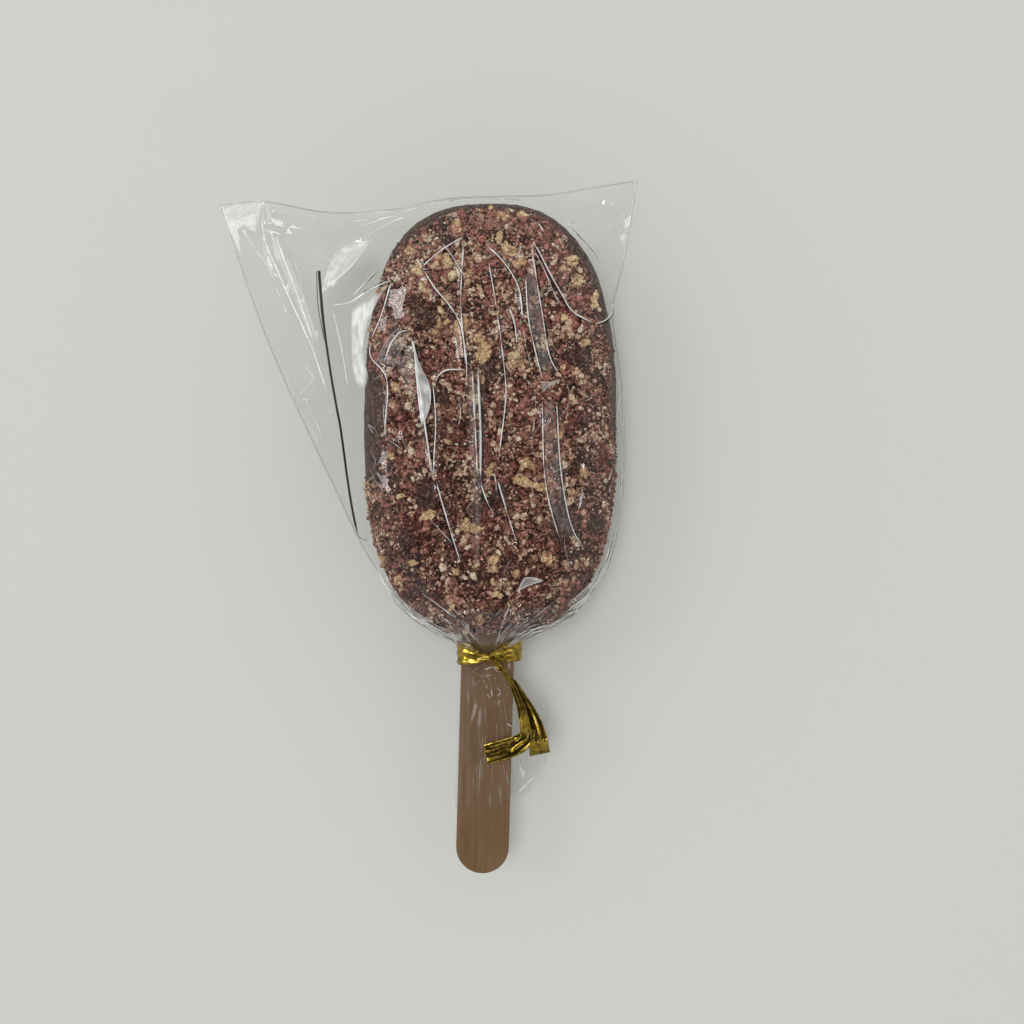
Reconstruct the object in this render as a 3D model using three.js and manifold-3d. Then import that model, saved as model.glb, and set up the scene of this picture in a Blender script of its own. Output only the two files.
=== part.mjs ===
// A cake pop: a flat-backed, round-cornered cake bar in dark chocolate and crumbs on a wooden stick, in a
// clear film bag that a gold twist tie closes round the stick. It lies on its back with its face up.
// X runs across it, Y along it with the stick towards -Y, Z up. The origin is on the resting face, under
// the middle of the cake. Lengths are in millimetres.

import * as THREE from "three";
import { mergeVertices } from "three/addons/utils/BufferGeometryUtils.js";
import Module from "manifold-3d";

// Driving dimensions
const GAP = 0.3; // left between pieces that touch
const FILM_WALL = 0.5; // the bag's thinnest wall as a solid

const CAKE_LENGTH = 83.4;
const CAKE_WIDTH = 50;
const CAKE_THICKNESS = 25;
const OUTLINE_POWER = 2.75; // 2 would be an ellipse, and a higher power is squarer
const BACK_EDGE_RADIUS = 2.5;
const FRONT_EDGE_RADIUS = 8;
const DRAFT = 1.6; // how far the sides lean in from the back to the front edge
const CROWN = 1.4; // how much the face rises from its edge to its middle
const UNEVENNESS = 0.3;

const STICK_LENGTH = 113;
const STICK_WIDTH = 10;
const STICK_THICKNESS = 2;
const STICK_EDGE = 0.35;
const STICK_TIP_Y = -85.8;
const STICK_MIDDLE = new THREE.Vector2(-0.5, -45);
const STICK_LEAN = THREE.MathUtils.degToRad(1.6);

const SEAM_THICKNESS = 0.8;
const SHEET_LIFT = 0.6; // how far the front sheet clears the skin round the cake
const BACK_LIFT = 0.15; // how far the back sheet clears the table
const HIDDEN_HEIGHT = 6; // where the back sheet ends inside that skin
const NECK_Y = -42.4;
const NECK_MIDDLE_X = -0.3;
const NECK_HALF_WIDTH = 5.95;
const NECK_HALF_HEIGHT = 3;
const NECK_TILT = THREE.MathUtils.degToRad(4);
const PLEATS = 6; // gathers in one side of the bag
const PLEAT_DEPTH = 0.9;

const RIBBON_WIDTH = 4;
const RIBBON_THICKNESS = 0.5;
const BAND_MIDDLE_Y = -44.5;

// How finely the curved forms are divided
const CAKE_POINTS = 48;
const SHEET_COLUMNS = 30;
const SHEET_ROWS = 26;
const SKIRT_POINTS = 36;

const CAKE_BASE = FILM_WALL + GAP;
const CAKE_TOP = CAKE_BASE + CAKE_THICKNESS;
const STICK_Z = CAKE_THICKNESS / 2;

const wasm = await Module();
wasm.setup();

// ---- Closed meshes ----

// A geometry from corner points and triangles that index them.
function meshOf(points, triangles) {
  const geometry = new THREE.BufferGeometry().setFromPoints(points);
  geometry.setIndex(triangles);
  return geometry;
}

// The closed skin through rings of equally many points, with a fan over each end. Seen from the side that
// the rings move towards, a ring runs anticlockwise.
function loft(rings) {
  const count = rings[0].length;
  const middle = (ring) => {
    const sum = new THREE.Vector3();
    ring.forEach((point) => sum.add(point));
    return sum.divideScalar(count);
  };
  const points = [...rings.flat(), middle(rings[0]), middle(rings.at(-1))];
  const firstMiddle = points.length - 2;
  const lastMiddle = points.length - 1;
  const triangles = [];
  for (let i = 0; i < count; i++) {
    const next = (i + 1) % count;
    for (let r = 0; r + 1 < rings.length; r++) {
      const low = r * count;
      const high = low + count;
      triangles.push(low + i, low + next, high + next, low + i, high + next, high + i);
    }
    const last = (rings.length - 1) * count;
    triangles.push(firstMiddle, next, i, lastMiddle, last + i, last + next);
  }
  return meshOf(points, triangles);
}

// The closed solid between two sheets of the same rows and columns, front over back.
function betweenSheets(front, back) {
  const rows = front.length;
  const columns = front[0].length;
  const points = [...front.flat(), ...back.flat()];
  const under = rows * columns;
  const triangles = [];
  for (let r = 0; r + 1 < rows; r++) {
    for (let c = 0; c + 1 < columns; c++) {
      const a = r * columns + c;
      const b = a + 1;
      const d = a + columns;
      const e = d + 1;
      triangles.push(a, d, e, a, e, b);
      triangles.push(under + a, under + e, under + d, under + a, under + b, under + e);
    }
  }
  const rim = [];
  for (let c = 0; c < columns - 1; c++) rim.push(c);
  for (let r = 0; r < rows - 1; r++) rim.push(r * columns + columns - 1);
  for (let c = columns - 1; c > 0; c--) rim.push((rows - 1) * columns + c);
  for (let r = rows - 1; r > 0; r--) rim.push(r * columns);
  rim.forEach((a, i) => {
    const b = rim[(i + 1) % rim.length];
    triangles.push(a, b, under + b, a, under + b, under + a);
  });
  return meshOf(points, triangles);
}

// A geometry as a solid that can be joined and cut.
function solidOf(geometry) {
  const bare = geometry.clone();
  bare.deleteAttribute("normal");
  bare.deleteAttribute("uv");
  const merged = mergeVertices(bare, 1e-4);
  return new wasm.Manifold(
    new wasm.Mesh({
      numProp: 3,
      vertProperties: merged.attributes.position.array,
      triVerts: new Uint32Array(merged.index.array),
    }),
  );
}

// A solid as a geometry again.
function geometryOf(solid) {
  const mesh = solid.getMesh();
  const positions = new Float32Array(mesh.numVert * 3);
  for (let i = 0; i < mesh.numVert; i++) {
    const start = i * mesh.numProp;
    positions.set(mesh.vertProperties.subarray(start, start + 3), i * 3);
  }
  const geometry = new THREE.BufferGeometry();
  geometry.setAttribute("position", new THREE.BufferAttribute(positions, 3));
  geometry.setIndex(new THREE.BufferAttribute(mesh.triVerts, 1));
  return geometry.toNonIndexed();
}

// ---- Cake ----

const signedPower = (value, power) => Math.sign(value) * Math.abs(value) ** power;

// A point of the rounded oblong with these half sizes.
function outlinePoint(angle, halfWidth, halfLength, power = OUTLINE_POWER) {
  return new THREE.Vector2(
    halfWidth * signedPower(Math.cos(angle), 2 / power),
    halfLength * signedPower(Math.sin(angle), 2 / power),
  );
}

// 1 on the oblong with these half sizes, less inside it and more outside.
function outlineShare(x, y, halfWidth, halfLength) {
  const sum =
    Math.abs(x / halfWidth) ** OUTLINE_POWER + Math.abs(y / halfLength) ** OUTLINE_POWER;
  return sum ** (1 / OUTLINE_POWER);
}

// The face's height at a point that lies this far inside the outline.
function faceHeight(x, y, inset, grow) {
  const radius = FRONT_EDGE_RADIUS + grow;
  const over = 1 - THREE.MathUtils.clamp((inset - DRAFT) / radius, 0, 1);
  const share = outlineShare(x, y, CAKE_WIDTH / 2 + grow, CAKE_LENGTH / 2 + grow);
  const rounding = radius * (1 - Math.sqrt(1 - over * over));
  return CAKE_TOP + grow - rounding - CROWN * share * share;
}

// The coating's slow lumps, as a change of radius.
function unevenness(angle, level) {
  return (
    UNEVENNESS *
    (0.6 * Math.sin(3 * angle + 0.7) + 0.4 * Math.sin(7 * angle + 4 * level) - 0.3)
  );
}

// The coated cake, or with grow the same form that much larger all round.
function cakeForm(grow = 0) {
  const halfWidth = CAKE_WIDTH / 2 + grow;
  const halfLength = CAKE_LENGTH / 2 + grow;
  const base = CAKE_BASE - grow;
  const backRadius = BACK_EDGE_RADIUS + grow;
  const frontRadius = FRONT_EDGE_RADIUS + grow;
  const rings = [];
  const addRing = (level, inset, share, heightAt) => {
    const ring = [];
    for (let i = 0; i < CAKE_POINTS; i++) {
      const angle = (2 * Math.PI * i) / CAKE_POINTS;
      const lump = unevenness(angle, level);
      const p = outlinePoint(angle, halfWidth - inset + lump, halfLength - inset + lump);
      p.multiplyScalar(share);
      ring.push(new THREE.Vector3(p.x, p.y, heightAt(p)));
    }
    rings.push(ring);
  };

  const backSteps = 3;
  for (let k = 0; k <= backSteps; k++) {
    const turn = ((Math.PI / 2) * k) / backSteps;
    const height = base + backRadius * (1 - Math.cos(turn));
    addRing(0, backRadius * (1 - Math.sin(turn)), 1, () => height);
  }
  const edgeSteps = 5;
  for (let k = 0; k <= edgeSteps; k++) {
    const turn = ((Math.PI / 2) * k) / edgeSteps;
    const inset = DRAFT + frontRadius * (1 - Math.cos(turn));
    addRing(1, inset, 1, (p) => faceHeight(p.x, p.y, inset, grow));
  }
  const wholeInset = DRAFT + frontRadius;
  for (const share of [0.8, 0.6, 0.4, 0.2]) {
    addRing(1, wholeInset, share, (p) => faceHeight(p.x, p.y, wholeInset, grow));
  }
  return loft(rings);
}

// ---- Stick ----

// The flat stick with round ends, or with grow the room that it needs.
function stickForm(grow = 0) {
  const radius = STICK_WIDTH / 2 - STICK_EDGE;
  const run = STICK_LENGTH / 2 - STICK_WIDTH / 2;
  const shape = new THREE.Shape();
  shape.absarc(0, run, radius, 0, Math.PI);
  shape.absarc(0, -run, radius, Math.PI, 2 * Math.PI);
  const geometry = new THREE.ExtrudeGeometry(shape, {
    depth: STICK_THICKNESS - 2 * STICK_EDGE,
    bevelThickness: STICK_EDGE + grow,
    bevelSize: STICK_EDGE + grow,
    bevelSegments: 2,
    curveSegments: 12,
  });
  const tipToMiddle = STICK_MIDDLE.y - STICK_TIP_Y;
  geometry.translate(0, STICK_LENGTH / 2 - tipToMiddle, STICK_EDGE - STICK_THICKNESS / 2);
  geometry.rotateZ(-STICK_LEAN);
  geometry.translate(STICK_MIDDLE.x, STICK_MIDDLE.y, STICK_Z);
  return geometry;
}

// ---- Bag ----

const curveThrough = (points) =>
  new THREE.CatmullRomCurve3(
    points.map(([x, y, z]) => new THREE.Vector3(x, y, z)),
    false,
    "centripetal",
  );

// The neck's two ends, where the film's side edges run into the tie.
const neckEnd = (side) => [
  NECK_MIDDLE_X + side * NECK_HALF_WIDTH,
  NECK_Y + side * NECK_HALF_WIDTH * Math.tan(NECK_TILT),
  STICK_Z,
];
const LEFT_CORNER = [-53.3, 43, 5];
const RIGHT_CORNER = [28.3, 47, 8];

// The flat bag's four edges as it lies: the closed top, the two sides and the gathered neck.
const TOP_EDGE = curveThrough([
  LEFT_CORNER,
  [-43.8, 42.9, 8],
  [-32, 40.9, 8],
  [-20, 41, 9],
  [-8, 42.6, 11.5],
  [11, 43.2, 12],
  [18.5, 45, 9.5],
  RIGHT_CORNER,
]);
const LEFT_EDGE = curveThrough([
  LEFT_CORNER,
  [-43.6, 15.6, 4.5],
  [-31.8, -10.5, 4],
  [-23.4, -27, 5],
  [-15, -36.8, 8.5],
  neckEnd(-1),
]);
const RIGHT_EDGE = curveThrough([
  RIGHT_CORNER,
  [25.6, 31, 8],
  [23.6, 22.5, 9],
  [24.9, 6, 10],
  [24.8, -14, 10],
  [21.6, -29, 10],
  [14.6, -36.8, 11],
  neckEnd(1),
]);
const NECK_EDGE = curveThrough([neckEnd(-1), neckEnd(1)]);

// The sheet that the four edges span, as rows from the top edge to the neck.
function spannedSheet() {
  const rows = [];
  for (let r = 0; r <= SHEET_ROWS; r++) {
    const t = r / SHEET_ROWS;
    const left = LEFT_EDGE.getPointAt(t);
    const right = RIGHT_EDGE.getPointAt(t);
    const row = [];
    for (let c = 0; c <= SHEET_COLUMNS; c++) {
      const s = c / SHEET_COLUMNS;
      const sides = left.clone().lerp(right, s);
      const ends = TOP_EDGE.getPointAt(s).lerp(NECK_EDGE.getPointAt(s), t);
      const top = TOP_EDGE.getPointAt(0).lerp(TOP_EDGE.getPointAt(1), s);
      const neck = NECK_EDGE.getPointAt(0).lerp(NECK_EDGE.getPointAt(1), s);
      row.push(sides.add(ends).sub(top.lerp(neck, t)));
    }
    rows.push(row);
  }
  return rows;
}

// How far a point lies inside the cake's outline.
function insetAt(x, y, grow) {
  let low = -60;
  let high = CAKE_WIDTH / 2;
  for (let k = 0; k < 20; k++) {
    const inset = (low + high) / 2;
    const share = outlineShare(
      x,
      y,
      CAKE_WIDTH / 2 + grow - inset,
      CAKE_LENGTH / 2 + grow - inset,
    );
    if (share > 1) high = inset;
    else low = inset;
  }
  return low;
}

// One side of the bag: the spanned sheet, pulled taut between its edges over or under the cake. edge is
// how far its rim lies from the seam, and limit keeps a height clear of what the sheet lies on.
function tautSheet(edge, limit) {
  const sheet = spannedSheet();
  sheet.forEach((row) => row.forEach((p) => (p.z += edge)));
  const neckRow = sheet[SHEET_ROWS];
  neckRow.forEach((p, c) => {
    const arch = Math.sin((Math.PI * c) / SHEET_COLUMNS) ** 0.7;
    p.z += Math.sign(edge) * (NECK_HALF_HEIGHT - Math.abs(edge)) * arch;
  });
  const passes = 500;
  for (let k = 0; k < passes; k++) {
    for (let r = 1; r < SHEET_ROWS; r++) {
      for (let c = 1; c < SHEET_COLUMNS; c++) {
        const across = sheet[r][c - 1].z + sheet[r][c + 1].z;
        const along = sheet[r - 1][c].z + sheet[r + 1][c].z;
        sheet[r][c].z = limit(sheet[r][c], (across + along) / 4);
      }
    }
  }
  return sheet;
}

// The gathers that fan out of the neck on the front sheet.
function pleat(sheet) {
  sheet.forEach((row, r) => {
    const reach = THREE.MathUtils.smoothstep(r / SHEET_ROWS, 0.55, 0.9);
    const fade = 1 - THREE.MathUtils.smoothstep(r / SHEET_ROWS, 0.96, 1);
    row.forEach((p, c) => {
      const s = c / SHEET_COLUMNS;
      const wave = 0.5 - 0.5 * Math.cos(2 * Math.PI * PLEATS * s);
      p.z += PLEAT_DEPTH * reach * fade * wave * Math.sin(Math.PI * s);
    });
  });
}

// The two sides of the bag from the closed top to the neck, with what lies between them. The back side
// reaches down to the cake's back edge beside the loose left wing, where it lies on the table. Elsewhere
// the film hugs the cake, and the back side ends inside the skin that bagForm puts round the cake.
function pocketForm() {
  const skin = FILM_WALL + GAP;
  const front = tautSheet(SEAM_THICKNESS / 2, (p, height) => {
    const inset = insetAt(p.x, p.y, skin);
    return inset > DRAFT
      ? Math.max(height, faceHeight(p.x, p.y, inset, skin) + SHEET_LIFT)
      : height;
  });
  const back = tautSheet(-SEAM_THICKNESS / 2, (p, height) => {
    if (insetAt(p.x, p.y, skin) > BACK_EDGE_RADIUS) {
      const hugging = THREE.MathUtils.smoothstep(p.x, -20, -8);
      return THREE.MathUtils.lerp(BACK_LIFT, HIDDEN_HEIGHT, hugging);
    }
    return Math.max(height, BACK_LIFT);
  });
  pleat(front);
  return betweenSheets(front, back);
}

// The neck in the tie and the loose skirt of film that hangs below it along the stick.
function skirtForm() {
  // y, left and right edges, half height and how deep the gathers are; the last ring is cut slanting
  const stations = [
    { y: -41.2, left: -6.25, right: 5.65, half: NECK_HALF_HEIGHT, gather: 0, slant: 0 },
    { y: -48, left: -6.25, right: 5.65, half: NECK_HALF_HEIGHT, gather: 0, slant: 0 },
    { y: -50, left: -6.6, right: 8.2, half: 3.3, gather: 0.05, slant: 0 },
    { y: -53.5, left: -7, right: 11.2, half: 3.5, gather: 0.09, slant: 0 },
    { y: -61, left: -7.2, right: 11.4, half: 3.4, gather: 0.09, slant: 0.05 },
    { y: -67.5, left: -7.4, right: 10.6, half: 3.1, gather: 0.09, slant: 0.2 },
    { y: -73.4, left: -7.5, right: 8.8, half: 2.8, gather: 0.08, slant: 0.42 },
  ];
  const rings = stations.map(({ y, left, right, half, gather, slant }) => {
    const ring = [];
    for (let i = 0; i < SKIRT_POINTS; i++) {
      const angle = (2 * Math.PI * i) / SKIRT_POINTS;
      const p = outlinePoint(angle, (right - left) / 2, half, 3);
      p.multiplyScalar(1 - gather * (0.5 - 0.5 * Math.cos(9 * angle)));
      const x = (left + right) / 2 + p.x;
      const rise = Math.max(0, x - NECK_MIDDLE_X) * slant;
      ring.push(new THREE.Vector3(x, y + rise, STICK_Z + p.y));
    }
    return ring;
  });
  return loft(rings);
}

function bagForm() {
  const outside = [cakeForm(FILM_WALL + GAP), pocketForm(), skirtForm()];
  const whole = outside.map(solidOf).reduce((a, b) => a.add(b));
  const hollow = solidOf(cakeForm(GAP)).add(solidOf(stickForm(GAP)));
  return geometryOf(whole.subtract(hollow));
}

// ---- Twist tie ----

// A flat ribbon along points, each with the direction of its width and how wide it is there.
function ribbonForm(stations) {
  const middles = stations.map(({ at }) => new THREE.Vector3(...at));
  const rings = middles.map((middle, i) => {
    const before = middles[Math.max(i - 1, 0)];
    const after = middles[Math.min(i + 1, middles.length - 1)];
    const along = after.clone().sub(before).normalize();
    const across = new THREE.Vector3(...stations[i].across);
    across.addScaledVector(along, -across.dot(along)).normalize();
    const up = along.clone().cross(across);
    const half = (stations[i].width ?? RIBBON_WIDTH) / 2;
    const thick = (stations[i].thick ?? RIBBON_THICKNESS) / 2;
    const corner = (a, b) =>
      middle.clone().addScaledVector(across, a * half).addScaledVector(up, b * thick);
    return [corner(-1, -1), corner(1, -1), corner(1, 1), corner(-1, 1)];
  });
  return loft(rings);
}

// The band round the neck: an oblong ring as wide as the ribbon.
function bandForm() {
  const ringPath = (Path, halfWidth, halfHeight) => {
    const points = [];
    for (let i = 0; i < SKIRT_POINTS; i++) {
      points.push(outlinePoint((2 * Math.PI * i) / SKIRT_POINTS, halfWidth, halfHeight, 3));
    }
    return new Path(points);
  };
  const inner = [NECK_HALF_WIDTH + GAP + 0.05, NECK_HALF_HEIGHT + GAP + 0.1];
  const shape = ringPath(THREE.Shape, ...inner.map((half) => half + RIBBON_THICKNESS));
  shape.holes.push(ringPath(THREE.Path, ...inner));
  const geometry = new THREE.ExtrudeGeometry(shape, {
    depth: RIBBON_WIDTH,
    bevelEnabled: false,
  });
  geometry.translate(0, 0, -RIBBON_WIDTH / 2);
  geometry.rotateX(Math.PI / 2);
  geometry.rotateZ(NECK_TILT);
  geometry.translate(NECK_MIDDLE_X, BAND_MIDDLE_Y, STICK_Z);
  return geometry;
}

function tieForm() {
  const top = STICK_Z + NECK_HALF_HEIGHT + GAP + RIBBON_THICKNESS;
  // The two ends cross over the band, twist round each other and part above the bag's skirt.
  const twist = ribbonForm([
    { at: [-0.2, -44.2, top], across: [1, 0, 0], width: 2.6, thick: 1.2 },
    { at: [0.8, -45.3, top + 0.5], across: [1, 0.3, 0], width: 2.2, thick: 1.6 },
    { at: [2.1, -46.7, top + 0.4], across: [1, 0.4, 0], width: 1.5, thick: 1.2 },
    { at: [3.8, -48.7, top + 0.3], across: [1, 0.4, 0.6], width: 1.8, thick: 1 },
    { at: [5.7, -51.7, top + 0.5], across: [1, 0.4, 0], width: 2.4, thick: 1 },
    { at: [7, -55.2, top + 0.6], across: [1, 0.4, 0], width: 3.2, thick: 1.2 },
    { at: [7.7, -57.8, top + 0.6], across: [1, 0.4, 0], width: 3.2, thick: 1.2 },
  ]);
  const straightTail = ribbonForm([
    { at: [5.8, -51.7, top + 0.5], across: [1, 0.4, 0], width: 2.6 },
    { at: [7.4, -55.6, top + 0.5], across: [1, 0.35, 0] },
    { at: [8.4, -59.2, top + 0.3], across: [1, 0.32, 0] },
    { at: [9.1, -62.5, top], across: [1, 0.28, 0] },
  ]);
  const bentTail = ribbonForm([
    { at: [6.7, -54.8, top + 0.9], across: [1, 0.4, 0], width: 2.4 },
    { at: [7.2, -57.4, top + 1], across: [1, 0.1, 0], width: 3 },
    { at: [6.2, -59.6, top + 0.9], across: [0.7, -0.7, 0], width: 3.6 },
    { at: [3.2, -61.2, top + 0.7], across: [0.2, -1, 0] },
    { at: [-0.8, -62.2, top + 0.4], across: [0.3, -1, 0] },
  ]);
  const parts = [bandForm(), twist, straightTail, bentTail];
  return geometryOf(parts.map(solidOf).reduce((a, b) => a.add(b)));
}

// ---- The assembled pop ----

function piece(name, geometry, material) {
  geometry.computeVertexNormals();
  const mesh = new THREE.Mesh(geometry, new THREE.MeshStandardMaterial(material));
  mesh.name = name;
  return mesh;
}

function cakeWithSlot() {
  return geometryOf(solidOf(cakeForm()).subtract(solidOf(stickForm(GAP))));
}

const pop = new THREE.Group();
pop.add(
  piece("cake", cakeWithSlot(), { color: 0x4a2c26, roughness: 0.75, metalness: 0 }),
  piece("stick", stickForm(), { color: 0xa07c58, roughness: 0.7, metalness: 0 }),
  piece("bag", bagForm(), {
    color: 0xf4f6f2,
    roughness: 0.05,
    metalness: 0,
    transparent: true,
    opacity: 0.2,
  }),
  piece("tie", tieForm(), { color: 0xc39a32, roughness: 0.3, metalness: 1 }),
);

export default pop;
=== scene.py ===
"""The looks of a cake pop in a clear film bag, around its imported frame.

The pop lies on its back: X runs across it, Y along it with the stick towards -Y, Z up. Arrays hold
millimetres, and mesh_piece() turns them into metres.
"""

import math

import bmesh
import bpy
import numpy as np
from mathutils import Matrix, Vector, noise
from mathutils.bvhtree import BVHTree


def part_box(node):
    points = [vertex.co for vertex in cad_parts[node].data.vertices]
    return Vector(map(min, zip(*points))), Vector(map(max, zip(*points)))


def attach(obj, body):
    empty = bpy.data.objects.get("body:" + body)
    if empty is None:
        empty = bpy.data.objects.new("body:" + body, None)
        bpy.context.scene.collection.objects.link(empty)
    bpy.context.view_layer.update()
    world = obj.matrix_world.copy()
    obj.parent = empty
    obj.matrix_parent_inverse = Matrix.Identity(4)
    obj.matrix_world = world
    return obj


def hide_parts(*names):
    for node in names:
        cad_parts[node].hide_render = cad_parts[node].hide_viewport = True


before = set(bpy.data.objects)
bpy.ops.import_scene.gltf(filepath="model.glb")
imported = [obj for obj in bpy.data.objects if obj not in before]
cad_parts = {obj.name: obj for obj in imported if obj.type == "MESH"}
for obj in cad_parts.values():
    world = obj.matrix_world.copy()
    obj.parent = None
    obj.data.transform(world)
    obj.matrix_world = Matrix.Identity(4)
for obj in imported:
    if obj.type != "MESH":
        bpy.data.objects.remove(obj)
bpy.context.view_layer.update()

MM = 0.001


def box_mm(node):
    """A CAD node's lowest and highest corners."""
    low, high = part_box(node)
    return np.array(low) / MM, np.array(high) / MM


CAKE_LOW, CAKE_HIGH = box_mm("cake")
STICK_LOW, STICK_HIGH = box_mm("stick")
BAG_LOW, BAG_HIGH = box_mm("bag")

# The cake's form, with the values that its solid has
HALF_WIDTH = (CAKE_HIGH[0] - CAKE_LOW[0]) / 2
HALF_LENGTH = (CAKE_HIGH[1] - CAKE_LOW[1]) / 2
CAKE_BASE = CAKE_LOW[2]
CAKE_TOP = CAKE_HIGH[2]
OUTLINE_POWER = 2.75
BACK_RADIUS = 2.5
FRONT_RADIUS = 8.0
DRAFT = 1.6
CROWN = 1.4
UNEVENNESS = 0.3
BULGE = 1.0  # about how far the cake and its crumbs bulge out of its outline
CRUMB_COAT = 0.35  # how far the chocolate lies below the crumbs' mean surface

STICK_Z = (STICK_LOW[2] + STICK_HIGH[2]) / 2
NECK_Y = -42.0
NECK_MIDDLE_X = -0.15
KNOT = (-0.4, -44.4)  # where the tie draws the film together
BAND_Y = -43.5
BAND_HALF_WIDTH = 5.95
NECK_HALF_WIDTH = 5.9
NECK_HALF_HEIGHT = 2.9
NECK_TILT = math.radians(4)


# ---- Meshes ----


def add_object(name, data):
    obj = bpy.data.objects.new(name, data)
    bpy.context.scene.collection.objects.link(obj)
    return obj


def mesh_piece(name, points, faces, material, smooth=True, attributes=None):
    """An object from points in millimetres and faces that all have the same number of corners."""
    points = np.asarray(points, float).reshape(-1, 3)
    faces = np.asarray(faces, np.int32)
    corners = faces.shape[1]
    mesh = bpy.data.meshes.new(name)
    mesh.vertices.add(len(points))
    mesh.vertices.foreach_set("co", (points * MM).astype(np.float32).ravel())
    mesh.loops.add(faces.size)
    mesh.loops.foreach_set("vertex_index", faces.ravel())
    mesh.polygons.add(len(faces))
    mesh.polygons.foreach_set("loop_start", np.arange(0, faces.size, corners, dtype=np.int32))
    mesh.polygons.foreach_set("loop_total", np.full(len(faces), corners, np.int32))
    mesh.update(calc_edges=True)
    mesh.polygons.foreach_set("use_smooth", np.full(len(faces), smooth))
    for key, values in (attributes or {}).items():
        mesh.attributes.new(key, "FLOAT", "POINT").data.foreach_set(
            "value", np.asarray(values, np.float32)
        )
    mesh.materials.append(material)
    return add_object(name, mesh)


def grid_faces(rows, columns, wrap=False):
    """Quads over a grid of points, closed round in the column direction with wrap."""
    r = np.arange(rows - 1)[:, None]
    c = np.arange(columns if wrap else columns - 1)[None, :]
    after = (c + 1) % columns
    low = r * columns
    high = low + columns
    return np.stack([low + c, low + after, high + after, high + c], -1).reshape(-1, 4)


def joined_piece(name, parts, material, key=None, smooth=True):
    """One object from parts, each its points, its faces and, for the attribute key, its values."""
    points, faces, values = zip(*parts)
    starts = np.cumsum([0] + [len(part) for part in points])
    faces = np.concatenate([part + start for part, start in zip(faces, starts)])
    attributes = {key: np.concatenate(values)} if key else None
    return mesh_piece(name, np.concatenate(points), faces, material, smooth, attributes)


def noise_at(points, scale, seed=0.0):
    """Smooth noise from about -1 to 1 at each point, with features as long as scale."""
    shifted = points / scale + seed
    return np.array([noise.noise(Vector(p)) for p in shifted])


def smoothstep(value, low, high):
    share = np.clip((value - low) / (high - low), 0, 1)
    return share * share * (3 - 2 * share)


def faded(share, start, end):
    """1 along a line, and falling to 0 over these shares of it at its start and its end."""
    return smoothstep(share, 0, start) * smoothstep(1 - share, 0, end)


def zigzag(value):
    """A wave of straight lines, from 1 at whole numbers to 0 half-way between them."""
    return np.abs(value % 1 - 0.5) * 2


def ridge(gap, width, crest):
    """A fold's height at a distance from its line. crest rounds its edge, width spreads its foot."""
    return np.exp(-(np.sqrt(gap**2 + crest**2) - crest) / width)


def units(vectors):
    """Vectors of length 1 with the same directions."""
    return vectors / np.maximum(np.linalg.norm(vectors, axis=-1, keepdims=True), 1e-9)


def running_sum(values):
    return np.concatenate([[0], np.cumsum(values)])


def steps(line):
    """The distance from each of a line's points to the next."""
    return np.linalg.norm(np.diff(line, axis=0), axis=1)


def heading(angle):
    return np.array([math.cos(angle), math.sin(angle)])


# ---- Materials ----


class Shader:
    """A new node material. Its methods add nodes, and give back an output of each."""

    def __init__(self, name):
        self.material = bpy.data.materials.new(name)
        self.material.use_nodes = True
        self.tree = self.material.node_tree
        self.tree.nodes.clear()

    def node(self, kind, output=0, inputs=(), **settings):
        """A node. inputs gives its sockets, by name or number, a constant or an output."""
        made = self.tree.nodes.new("ShaderNode" + kind)
        for key, value in settings.items():
            setattr(made, key, value)
        for key, value in dict(inputs).items():
            if hasattr(value, "is_output"):
                self.tree.links.new(value, made.inputs[key])
            else:
                made.inputs[key].default_value = value
        return made.outputs[output]

    def finish(self, surface):
        made = self.tree.nodes.new("ShaderNodeOutputMaterial")
        self.tree.links.new(surface, made.inputs["Surface"])
        return self.material

    def principled(self, colour, roughness, specular=0.5, **inputs):
        """The finished material, where it is one principled surface."""
        inputs = {"Base Color": colour, "Roughness": roughness, **inputs}
        inputs["Specular IOR Level"] = specular
        return self.finish(self.node("BsdfPrincipled", inputs=inputs))

    def texture(self, kind, scale, output=0, **inputs):
        """A texture in object space, with scale as features per millimetre."""
        if "Vector" not in inputs:
            inputs["Vector"] = self.node("TexCoord", "Object")
        return self.node("Tex" + kind, output, {"Scale": scale / MM, **inputs})

    def ramp(self, source, stops):
        """A colour ramp through (place, colour) stops."""
        made = self.node("ValToRGB", inputs={"Fac": source})
        elements = made.node.color_ramp.elements
        while len(elements) < len(stops):
            elements.new(0.5)
        for element, (place, colour) in zip(elements, stops):
            element.position = place
            element.color = (*colour, 1)
        return made

    def mix(self, factor, first, second, blend="MIX"):
        """A mix of two colours, where 6 and 7 are the Mix node's colour inputs and 2 its output."""
        inputs = {0: factor, 6: first, 7: second}
        return self.node("Mix", 2, inputs, data_type="RGBA", blend_type=blend)

    def blend(self, factor, first, second):
        """A mix of two shaders."""
        return self.node("MixShader", inputs={0: factor, 1: first, 2: second})

    def bump(self, source, strength, distance):
        """Bump from a height, with distance in millimetres."""
        inputs = {"Height": source, "Strength": strength, "Distance": distance * MM}
        return self.node("Bump", inputs=inputs)

    def clear(self, *colour):
        return self.node("BsdfTransparent", inputs={"Color": (*colour, 1)})

    def gloss(self, roughness, tone=1.0):
        inputs = {"Color": (tone, tone, tone, 1), "Roughness": roughness}
        return self.node("BsdfAnisotropic", inputs=inputs)

    def by_shine(self, shader):
        """The finished material: the clearer, the less of the attribute shine a place has."""
        shine = self.node("Attribute", "Fac", attribute_name="shine")
        return self.finish(self.blend(shine, self.clear(1, 1, 1), shader))


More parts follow.
